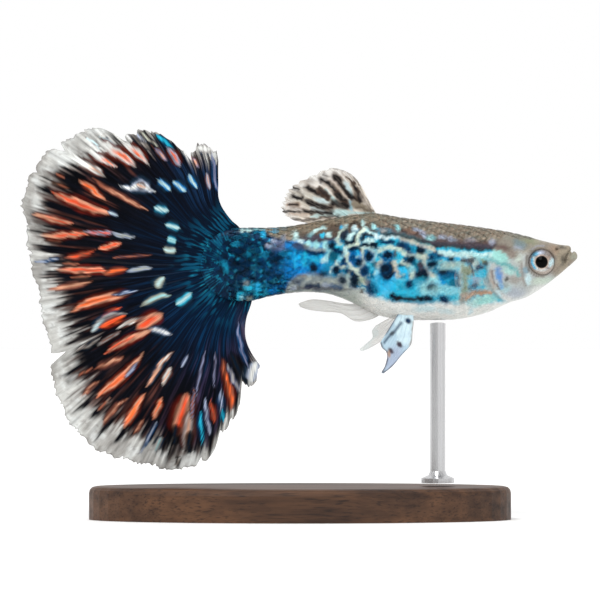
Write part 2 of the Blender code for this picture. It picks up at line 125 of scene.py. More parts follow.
def ramp(value: Array | float, low: float, high: float) -> Array:
    """Runs from 0 at low to 1 at high, level at both ends.

    Args:
        value: Where to read it.
        low: The value at which it leaves 0.
        high: The value at which it reaches 1; it may lie below low.

    Returns:
        The share, between 0 and 1.
    """
    share = np.clip((np.asarray(value, dtype=float) - low) / (high - low), 0.0, 1.0)
    return share * share * (3 - 2 * share)


def bell(value: Array | float, centre: float, spread: float) -> Array:
    """A round hump of height 1 at centre."""
    return np.exp(-(((np.asarray(value, dtype=float) - centre) / spread) ** 2))


def plain(colour: Colour, count: int) -> Array:
    """The same colour for every point."""
    return np.tile(np.array(colour), (count, 1))


def blend(first: Array, second: Array | Colour, share: Array) -> Array:
    """Mixes two colours, point by point."""
    return first + (np.asarray(second, dtype=float) - first) * share[:, None]


class Grain:
    """Smooth seeded noise over two coordinates, between -1 and 1."""

    def __init__(self, seed: int) -> None:
        """Fills the table of random values."""
        self.table = np.random.default_rng(seed).random(8192) * 2 - 1

    def at(self, x: Array, y: Array) -> Array:
        """One octave of noise.

        Args:
            x: First coordinate; features are one unit across.
            y: Second coordinate.

        Returns:
            The noise at each point.
        """
        x0, y0 = np.floor(x).astype(np.int64), np.floor(y).astype(np.int64)
        fx, fy = x - x0, y - y0
        fx, fy = fx * fx * (3 - 2 * fx), fy * fy * (3 - 2 * fy)

        def corner(i: Array, j: Array) -> Array:
            return self.table[(i * 73856093 ^ j * 19349663) & 8191]

        low = corner(x0, y0) * (1 - fx) + corner(x0 + 1, y0) * fx
        high = corner(x0, y0 + 1) * (1 - fx) + corner(x0 + 1, y0 + 1) * fx
        return low * (1 - fy) + high * fy

    def cloudy(self, x: Array, y: Array) -> Array:
        """Three octaves of noise, summed.

        Args:
            x: First coordinate.
            y: Second coordinate.

        Returns:
            The noise at each point.
        """
        return (
            self.at(x, y) + 0.5 * self.at(x * 2.1 + 7, y * 2.1) + 0.25 * self.at(x * 4.3, y * 4.3 + 3)
        ) / 1.75


class Curve:
    """A smooth curve through points given by rising x, held level beyond its ends."""

    def __init__(self, points: list[tuple[float, float]]) -> None:
        """Takes the points and works out the slope at each.

        Args:
            points: Places x with the height at each.
        """
        self.x = np.array([p[0] for p in points], dtype=float)
        self.y = np.array([p[1] for p in points], dtype=float)
        slopes = []
        for k in range(len(points)):
            before, after = max(k - 1, 0), min(k + 1, len(points) - 1)
            slopes.append((self.y[after] - self.y[before]) / (self.x[after] - self.x[before]))
        self.slope = np.array(slopes)

    def __call__(self, x: Array | float) -> Array:
        """The curve's height at x.

        Args:
            x: Where to read it.

        Returns:
            The heights.
        """
        x = np.clip(np.asarray(x, dtype=float), self.x[0], self.x[-1])
        i = np.clip(np.searchsorted(self.x, x, side="right") - 1, 0, len(self.x) - 2)
        step = self.x[i + 1] - self.x[i]
        t = (x - self.x[i]) / step
        return (
            self.y[i] * (1 + 2 * t) * (1 - t) ** 2
            + self.y[i + 1] * t * t * (3 - 2 * t)
            + self.slope[i] * step * t * (1 - t) ** 2
            - self.slope[i + 1] * step * t * t * (1 - t)
        )


class Path:
    """A smooth line through evenly spaced points of a plane."""

    def __init__(self, points: list[tuple[float, float]]) -> None:
        """Takes the points in order.

        Args:
            points: The points that the line passes through.
        """
        self.count = len(points) - 1
        self.across = Curve([(k, p[0]) for k, p in enumerate(points)])
        self.up = Curve([(k, p[1]) for k, p in enumerate(points)])

    def __call__(self, share: Array | float) -> tuple[Array, Array]:
        """The point at that share of the line, from 0 to 1."""
        at = np.asarray(share, dtype=float) * self.count
        return self.across(at), self.up(at)


# Mesh and material helpers


@dataclass
class Workshop:
    """What every piece needs: the CAD frame's place and the way to finish a mesh."""

    axis_height: float

    def finish(
        self, name: str, bm: BMesh, material: Material, slot: str
    ) -> bpy.types.Object:
        """Makes a bmesh in fish millimetres a finished object that rides on the model.

        Args:
            name: The piece's name.
            bm: Its mesh, which is freed.
            material: Its material.
            slot: The record's material slot; not used.

        Returns:
            The new object.
        """
        bmesh.ops.translate(bm, vec=(0, 0, self.axis_height), verts=bm.verts)
        bmesh.ops.scale(bm, vec=(MM, MM, MM), verts=bm.verts)
        mesh = bpy.data.meshes.new(name)
        bm.to_mesh(mesh)
        bm.free()
        mesh.shade_smooth()
        mesh.materials.append(material)
        obj = bpy.data.objects.new(name, mesh)
        bpy.context.scene.collection.objects.link(obj)
        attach(obj, "root")
        LOG.info("%s: %d faces", name, len(mesh.polygons))
        return obj

    def fish_points(self, mesh: Mesh) -> Array:
        """A finished mesh's points, back in fish millimetres.

        Args:
            mesh: The mesh.

        Returns:
            One row of x, y and z a point.
        """
        flat = np.empty(len(mesh.vertices) * 3)
        mesh.vertices.foreach_get("co", flat)
        return flat.reshape(-1, 3) / MM - np.array([0.0, 0.0, self.axis_height])


def read_field(mesh: Mesh, name: str) -> Array:
    """Reads a float attribute of a mesh's points.

    Args:
        mesh: The mesh.
        name: The attribute's name.

    Returns:
        One value a point.
    """
    values = np.empty(len(mesh.vertices))
    mesh.attributes[name].data.foreach_get("value", values)
    return values


def write_field(mesh: Mesh, name: str, values: Array) -> None:
    """Writes a float attribute onto a mesh's points."""
    layer = mesh.attributes.get(name) or mesh.attributes.new(name, "FLOAT", "POINT")
    layer.data.foreach_set("value", np.asarray(values, dtype=np.float32))


def write_colour(mesh: Mesh, name: str, rgb: Array, alpha: Array | None = None) -> None:
    """Writes a colour attribute onto a mesh's points.

    Args:
        mesh: The mesh.
        name: The attribute's name.
        rgb: Linear colours.
        alpha: How solid each point is; solid all over where it is left out.
    """
    rgba = np.ones((len(rgb), 4), dtype=np.float32)
    rgba[:, :3] = np.clip(rgb, 0, 1)
    if alpha is not None:
        rgba[:, 3] = np.clip(alpha, 0, 1)
    layer = mesh.attributes.new(name, "FLOAT_COLOR", "POINT")
    layer.data.foreach_set("color", rgba.ravel())


def moved_grid(columns: int, rows: int) -> tuple[BMesh, Array]:
    """A flat grid and the two shares, 0 to 1, of each of its points.

    Args:
        columns: Faces along the first share.
        rows: Faces along the second.

    Returns:
        The grid, and one row of two shares a point.
    """
    bm = bmesh.new()
    bmesh.ops.create_grid(bm, x_segments=columns, y_segments=rows, size=0.5)
    shares = np.array([(v.co.x + 0.5, v.co.y + 0.5) for v in bm.verts])
    return bm, np.clip(shares, 0.0, 1.0)


def keep_shares(bm: BMesh, shares: Array, names: tuple[str, str]) -> None:
    """Stores each point's two shares as attributes, before the mesh is changed further.

    Args:
        bm: The mesh.
        shares: Two values a point.
        names: The attributes' names.
    """
    first = bm.verts.layers.float.new(names[0])
    second = bm.verts.layers.float.new(names[1])
    for vert, (a, b) in zip(bm.verts, shares):
        vert[first] = a
        vert[second] = b


class Nodes:
    """Short calls for building one material's nodes."""

    def __init__(self, name: str) -> None:
        """Starts a material with a bare Principled shader.

        Args:
            name: The material's name.
        """
        self.material = bpy.data.materials.new(name)
        self.material.use_nodes = True
        self.tree = self.material.node_tree
        self.shader = self.tree.nodes["Principled BSDF"]
        self.place = self.tree.nodes.new("ShaderNodeTexCoord").outputs["Object"]

    def link(self, source: Socket, target: Socket) -> None:
        """Joins two sockets."""
        self.tree.links.new(source, target)

    def fix(self, **values: float | tuple) -> None:
        """Sets sockets of the shader that are the same all over; _ stands for a space."""
        for name, value in values.items():
            self.shader.inputs[name.replace("_", " ")].default_value = value

    def drive(self, name: str, source: Socket) -> None:
        """Feeds one socket of the shader."""
        self.link(source, self.shader.inputs[name])

    def attribute(self, name: str, output: str = "Fac") -> Socket:
        """Reads an attribute of the mesh.

        Args:
            name: The attribute's name.
            output: Which output to read.

        Returns:
            The output.
        """
        node = self.tree.nodes.new("ShaderNodeAttribute")
        node.attribute_name = name
        return node.outputs[output]

    def stretched(self, scale: tuple[float, float, float]) -> Socket:
        """Object coordinates, stretched.

        Args:
            scale: Factor along each axis.

        Returns:
            The coordinates.
        """
        node = self.tree.nodes.new("ShaderNodeMapping")
        node.inputs["Scale"].default_value = scale
        self.link(self.place, node.inputs["Vector"])
        return node.outputs["Vector"]

    def noise(
        self,
        scale: float,
        detail: float = 3.0,
        rough: float = 0.55,
        at: Socket | None = None,
    ) -> Socket:
        """Noise, between 0 and 1 and about 0.5 on average.

        Args:
            scale: Features to a metre.
            detail: Octaves.
            rough: Strength of the finer ones.
            at: Coordinates, in place of the plain ones.

        Returns:
            The noise.
        """
        node = self.tree.nodes.new("ShaderNodeTexNoise")
        node.inputs["Scale"].default_value = scale
        node.inputs["Detail"].default_value = detail
        node.inputs["Roughness"].default_value = rough
        self.link(at or self.place, node.inputs["Vector"])
        return node.outputs["Fac"]

    def math(
        self,
        operation: str,
        a: Socket | float,
        b: Socket | float,
        clamp: bool = False,
    ) -> Socket:
        """One step of arithmetic.

        Args:
            operation: The operation's name.
            a: First value.
            b: Second value.
            clamp: Whether to hold the result between 0 and 1.

        Returns:
            The result.
        """
        node = self.tree.nodes.new("ShaderNodeMath")
        node.operation = operation
        node.use_clamp = clamp
        for k, value in enumerate((a, b)):
            if isinstance(value, (int, float)):
                node.inputs[k].default_value = value
            else:
                self.link(value, node.inputs[k])
        return node.outputs[0]

    def span(
        self, value: Socket, low: float, high: float, to_low: float, to_high: float
    ) -> Socket:
        """Maps a range of values onto another, clamped.

        Args:
            value: The value.
            low: Lower end of its range.
            high: Upper end.
            to_low: Result at the lower end.
            to_high: Result at the upper end.

        Returns:
            The result.
        """
        node = self.tree.nodes.new("ShaderNodeMapRange")
        for name, number in zip(("From Min", "From Max", "To Min", "To Max"), (low, high, to_low, to_high)):
            node.inputs[name].default_value = number
        self.link(value, node.inputs["Value"])
        return node.outputs["Result"]

    def mix(
        self,
        share: Socket | float,
        a: Socket | Colour,
        b: Socket | Colour,
        how: str = "MIX",
    ) -> Socket:
        """Mixes two colours.

        Args:
            share: How much of the second colour.
            a: First colour.
            b: Second colour.
            how: The way of mixing.

        Returns:
            The mixed colour.
        """
        node = self.tree.nodes.new("ShaderNodeMix")
        node.data_type = "RGBA"
        node.blend_type = how
        for socket, value in ((node.inputs[0], share), (node.inputs[6], a), (node.inputs[7], b)):
            if isinstance(value, float):
                socket.default_value = value
            elif isinstance(value, tuple):
                socket.default_value = (*value, 1.0)
            else:
                self.link(value, socket)
        return node.outputs[2]

    def painted(self, shade: Socket) -> None:
        """Feeds the mesh's painted colour to the shader, lighter and darker by the shade."""
        paint = self.attribute("paint", "Color")
        self.drive("Base Color", self.mix(1.0, paint, self.grey(shade), "MULTIPLY"))

    def grey(self, value: Socket) -> Socket:
        """A number as a grey colour.

        Args:
            value: The number.

        Returns:
            The colour.
        """
        node = self.tree.nodes.new("ShaderNodeCombineColor")
        for k in range(3):
            self.link(value, node.inputs[k])
        return node.outputs[0]

    def bump(self, height: Socket, depth_mm: float, strength: float) -> None:
        """Gives the shader a bump of that depth.

        Args:
            height: The relief, 0 to 1.
            depth_mm: Its depth.
            strength: How much of it shows.
        """
        node = self.tree.nodes.new("ShaderNodeBump")
        node.inputs["Distance"].default_value = depth_mm * MM
        node.inputs["Strength"].default_value = strength
        self.link(height, node.inputs["Height"])
        self.drive("Normal", node.outputs["Normal"])


# Finishes


@dataclass(frozen=True)
class SkinFinish:
    """Wet skin, whose colours lie in the mesh's paint attribute."""

    name: str = "wet_skin"
    coat: float = 0.05
    coat_roughness: float = 0.12

    def make(self) -> Material:
        """Builds the material.

        Returns:
            The material.
        """
        n = Nodes(self.name)
        fine = n.noise(9000, 3, 0.65)
        broad = n.noise(1500, 3, 0.6)
        speck = n.math("ADD", n.span(fine, 0.3, 0.7, 0.80, 1.2), n.span(broad, 0.35, 0.65, -0.06, 0.06))
        n.painted(speck)
        n.drive("Metallic", n.math("MULTIPLY", n.attribute("gleam"), n.span(fine, 0.4, 0.7, 0.4, 1.0)))
        n.drive("Roughness", n.span(broad, 0.3, 0.7, 0.30, 0.46))
        n.fix(Coat_Weight=self.coat, Coat_Roughness=self.coat_roughness, Specular_IOR_Level=0.04)
        n.bump(fine, 0.012, 0.3)
        return n.material


@dataclass(frozen=True)
class ScaleFinish:
    """Clear scales over the skin, stained like it; how solid they are lies in the paint's alpha."""

    name: str = "clear_scales"
    coat: float = 0.08

    def make(self) -> Material:
        """Builds the material.

        Returns:
            The material.
        """
        n = Nodes(self.name)
        fine = n.noise(8000, 3, 0.6)
        n.painted(n.span(fine, 0.3, 0.7, 0.75, 1.25))
        n.drive("Alpha", n.attribute("paint", "Alpha"))
        n.drive("Metallic", n.attribute("gleam"))
        n.drive("Roughness", n.span(fine, 0.3, 0.7, 0.22, 0.36))
        n.fix(Coat_Weight=self.coat, Coat_Roughness=0.12, Specular_IOR_Level=0.05)
        n.bump(fine, 0.01, 0.25)
        return n.material


@dataclass(frozen=True)
class FinFinish:
    """Thin wet membrane. The mesh carries its colour, and how clear it is in the alpha."""

    name: str
    roughness: float = 0.42
    coat: float = 0.08
    fibres: tuple[float, float] = (620.0, 9.0)

    def make(self) -> Material:
        """Builds the material, its grain drawn out along the rays.

        Returns:
            The material.
        """
        n = Nodes(self.name)
        along = n.tree.nodes.new("ShaderNodeCombineXYZ")
        n.link(n.math("MULTIPLY", n.attribute("across"), self.fibres[0]), along.inputs[0])
        n.link(n.math("MULTIPLY", n.attribute("along"), self.fibres[1]), along.inputs[1])
        fibre = n.noise(1.0, 3, 0.6, along.outputs[0])
        shade = n.span(fibre, 0.3, 0.7, 0.88, 1.11)
        n.painted(shade)
        n.drive("Alpha", n.attribute("paint", "Alpha"))
        n.drive("Roughness", n.span(fibre, 0.3, 0.7, self.roughness - 0.08, self.roughness + 0.1))
        n.fix(Coat_Weight=self.coat, Coat_Roughness=0.2, Specular_IOR_Level=0.03)
        n.bump(fibre, 0.02, 0.3)
        return n.material


@dataclass(frozen=True)
class EyeFinish:
    """Painted ball of the eye, wet and glossy."""

    name: str = "eye_ball"

    def make(self) -> Material:
        """Builds the material.

        Returns:
            The material.
        """
        n = Nodes(self.name)
        fine = n.noise(9000, 3, 0.6)
        n.painted(n.span(fine, 0.3, 0.7, 0.8, 1.2))
        n.drive("Metallic", n.attribute("gleam"))
        n.drive("Roughness", n.span(fine, 0.3, 0.7, 0.2, 0.34))
        n.fix(Coat_Weight=0.06, Coat_Roughness=0.03, Specular_IOR_Level=0.02)
        n.bump(fine, 0.006, 0.2)
        return n.material


@dataclass(frozen=True)
class WalnutFinish:
    """Dark varnished wood with its grain along the base."""

    name: str = "walnut"

    def make(self) -> Material:
        """Builds the material.

        Returns:
            The material.
        """
        n = Nodes(self.name)
        bend = n.noise(1.0, 3, 0.6, n.stretched((60, 240, 240)))
        grain = n.noise(1.0, 5, 0.62, n.stretched((90, 1500, 1500)))
        pores = n.noise(1.0, 2, 0.5, n.stretched((420, 7000, 7000)))
        bands = n.span(n.math("ADD", bend, grain), 0.75, 1.25, 0.0, 1.0)
        bands = n.mix(bands, (0.115, 0.052, 0.024), (0.030, 0.013, 0.007))
        n.drive("Base Color", n.mix(n.span(pores, 0.54, 0.7, 0.0, 0.75), bands, (0.012, 0.006, 0.004)))
        n.drive("Roughness", n.span(grain, 0.3, 0.7, 0.46, 0.6))
        n.fix(Coat_Weight=0.06, Coat_Roughness=0.3, Specular_IOR_Level=0.3)
        n.bump(pores, 0.03, 0.25)
        return n.material


@dataclass(frozen=True)
class SteelFinish:
    """Fine-turned bright steel."""

    name: str = "turned_steel"

    def make(self) -> Material:
        """Builds the material.

        Returns:
            The material.
        """
        n = Nodes(self.name)
        rings = n.noise(1.0, 3, 0.6, n.stretched((9000, 9000, 120)))
        n.drive("Base Color", n.mix(rings, (0.46, 0.46, 0.47), (0.70, 0.70, 0.71)))
        n.drive("Roughness", n.span(rings, 0.3, 0.7, 0.2, 0.36))
        n.fix(Metallic=1.0)
        n.bump(rings, 0.01, 0.3)
        return n.material


@dataclass(frozen=True)
class FloorFinish:
    """Matt pale paper."""

    name: str = "pale_floor"

    def make(self) -> Material:
        """Builds the material.

        Returns:
            The material.
        """
        n = Nodes(self.name)
        n.drive("Base Color", n.mix(n.noise(120, 2), (0.93, 0.93, 0.925), (0.96, 0.96, 0.955)))
        n.fix(Roughness=0.85, Specular_IOR_Level=0.1)
        return n.material


# Body


@dataclass
class BodyForm:
    """The fish's outline from its tail stalk to its snout, and the surface that it gives."""

    # x, height of the back, depth of the belly, half width, height of the widest line
    stations: list[tuple[float, float, float, float, float]] = field(
        default_factory=lambda: [
            (-5.7, 3.30, -3.24, 1.00, 0.0),
            (-4.5, 3.33, -3.22, 1.12, 0.1),
            (-2.7, 3.33, -2.78, 1.30, 0.2),
            (-0.9, 3.47, -2.50, 1.50, 0.3),
            (0.9, 3.80, -2.42, 1.68, 0.4),
            (2.7, 4.12, -2.62, 1.86, 0.4),
            (4.5, 4.43, -3.28, 2.02, 0.2),
            (6.8, 4.62, -4.42, 2.22, -0.1),
            (9.0, 4.27, -4.88, 2.36, -0.4),
            (12.1, 3.87, -4.94, 2.46, -0.5),
            (14.4, 3.61, -4.82, 2.50, -0.5),
            (16.8, 3.28, -4.26, 2.50, -0.4),
            (18.9, 2.92, -3.36, 2.44, -0.2),
            (20.4, 2.56, -2.88, 2.30, 0.1),
            (22.0, 2.14, -1.88, 2.02, 0.3),
            (23.2, 1.86, -0.96, 1.64, 0.5),
            (23.8, 1.78, -0.45, 1.40, 0.6),
            (24.12, 1.75, -0.17, 1.25, 0.66),
            (24.27, 1.68, -0.05, 1.17, 0.70),
            (24.36, 1.40, 0.04, 1.11, 0.71),
            (24.43, 1.08, 0.10, 1.05, 0.72),
            (24.54, 1.10, 0.20, 0.96, 0.73),
            (24.68, 1.20, 0.33, 0.80, 0.76),
            (24.82, 1.14, 0.46, 0.58, 0.78),
            (24.92, 0.98, 0.60, 0.34, 0.79),
            (24.96, 0.86, 0.70, 0.16, 0.79),
        ]
    )
    end_x: float = -5.7
    end_radius: float = 3.24
    end_width: float = 0.2
    end_rim: float = 0.12
    strip: float = 0.05
    gill_x: float = 18.75
    gill_bulge: float = 1.95
    gill_reach: float = 2.9
    gill_step: float = 0.14

    def __post_init__(self) -> None:
        """Makes a curve of each column of the stations."""
        self.top, self.bottom, self.width, self.middle = (
            Curve([(s[0], s[k]) for s in self.stations]) for k in (1, 2, 3, 4)
        )

    def reach_x(self, x_mid: Array, rise: Array) -> Array:
        """Where a ring lies along the body, bent back to the gill cover's edge."""
        bulge = self.gill_bulge * bell(x_mid, self.gill_x, self.gill_reach)
        return x_mid - bulge * (1 - rise * rise)

    def surface(self, x_mid: Array, turn: Array) -> Array:
        """Points of the surface.

        Args:
            x_mid: The ring's place on the back and belly.
            turn: Radians round the body: -90 degrees on the belly, up the right side to 90 on
                the back, and down the left side to 270.

        Returns:
            One row of x, y and z a point.
        """
        rise = np.sin(turn)
        side = -np.sign(np.cos(turn))
        x = self.reach_x(x_mid, rise)
        top, bottom = self.top(x), self.bottom(x)
        width, middle = self.width(x), self.middle(x)
        rim = self.strip + (0.3 - self.strip) * ramp(-x, 3.4, -self.end_x)
        behind = x < self.end_x
        share = np.clip((self.end_x - x) / self.end_radius, 0.0, 1.0)
        arc = self.end_radius * np.sqrt(1 - share**2)
        top = np.where(behind, arc * (1 + 0.02 * (1 - share)), top)
        bottom = np.where(behind, -arc, bottom)
        middle = np.where(behind, 0.0, middle)
        width = np.where(behind, width + (self.end_width - width) * share**1.3, width)
        rim = np.where(behind, rim + (self.end_rim - rim) * share, rim)
        head = ramp(x, 17.0, 21.5)
        flat = np.where(rise > 0, 1.0 - 0.24 * head, 1.0 - 0.12 * head)
        lift = np.sign(rise) * np.abs(rise) ** flat
        height = middle + np.where(rise > 0, top - middle, middle - bottom) * lift
        spread = np.abs(np.cos(turn)) ** (1.0 - 0.2 * head)
        step = self.gill_step * ramp(x_mid, self.gill_x - 0.04, self.gill_x + 0.05)
        step = step * (1 - ramp(x_mid, self.gill_x + 0.4, self.gill_x + 2.2))
        reach = rim + (width - rim + step) * spread
        return np.column_stack([x, side * reach, height])

    def normal(self, x_mid: Array, turn: Array) -> Array:
        """Outward unit normals of the surface, which pass smoothly over the back and belly.

        Args:
            x_mid: The ring's place on the back and belly.
            turn: Radians round the body.

        Returns:
            One unit vector a point.
        """
        small = 0.03
        along = self.surface(x_mid + small, turn) - self.surface(x_mid - small, turn)
        round_ = self.surface(x_mid, turn + small) - self.surface(x_mid, turn - small)
        out = np.cross(round_, along)
        here = self.surface(x_mid, turn)
        away = np.column_stack([np.zeros(len(here)), here[:, 1], here[:, 2] - self.middle(here[:, 0])])
        out *= np.sign(np.sum(out * away, axis=1))[:, None]
        return out / np.maximum(np.linalg.norm(out, axis=1), 1e-9)[:, None]

    def height_share(self, points: Array) -> Array:
        """How high points lie between belly, 0, and back, 1.

        Args:
            points: Fish millimetres.

        Returns:
            One share a point.
        """
        x = points[:, 0]
        share = np.clip((self.end_x - x) / self.end_radius, 0.0, 0.98)
        arc = self.end_radius * np.sqrt(1 - share**2)
        top = np.where(x < self.end_x, arc, self.top(x))
        bottom = np.where(x < self.end_x, -arc, self.bottom(x))
        return np.clip((points[:, 2] - bottom) / np.maximum(top - bottom, 0.05), 0.0, 1.0)


def squares(x: Array, z: Array) -> tuple[Array, Array]:
    """Fish millimetres as columns and rows of the drawing sheet."""
    return SHEET_COLUMN + x / SQUARE, SHEET_ROW - z / SQUARE


@dataclass(frozen=True)
class Dab:
    """An oval mark on the drawing sheet: centre, half length and height, tilt in degrees."""

    tint: Tint
    column: float
    row: float
    length: float
    height: float
    tilt: float = 0.0
    soft: float = 1.3
    strength: float = 1.0

    def cover(self, column: Array, row: Array) -> Array:
        """How fully the mark covers each place.

        Args:
            column: Columns of the places on the drawing sheet.
            row: Rows of the places.

        Returns:
            The share of each place that it covers.
        """
        turned = math.radians(self.tilt)
        dx, dy = column - self.column, self.row - row
        a = dx * math.cos(turned) + dy * math.sin(turned)
        b = -dx * math.sin(turned) + dy * math.cos(turned)
        away = (np.hypot(a / self.length, b / self.height) - 1) * min(self.length, self.height)
        return self.strength * ramp(away, self.soft, -self.soft)


@dataclass(frozen=True)
class Stroke:
    """A line drawn with a round brush through places of the drawing sheet."""

    tint: Tint
    width: float
    path: tuple[tuple[float, float], ...]
    soft: float = 1.1
    strength: float = 1.0

    def cover(self, column: Array, row: Array) -> Array:
        """How fully the line covers each place.

        Args:
            column: Columns of the places on the drawing sheet.
            row: Rows of the places.

        Returns:
            The share of each place that it covers.
        """
        away = np.full(len(column), 1e3)
        for (x0, y0), (x1, y1) in zip(self.path, self.path[1:]):
            dx, dy = x1 - x0, y1 - y0
            share = ((column - x0) * dx + (row - y0) * dy) / (dx * dx + dy * dy)
            share = np.clip(share, 0, 1)
            away = np.minimum(away, np.hypot(column - x0 - share * dx, row - y0 - share * dy))
        return self.strength * ramp(away - self.width / 2, self.soft, -self.soft)


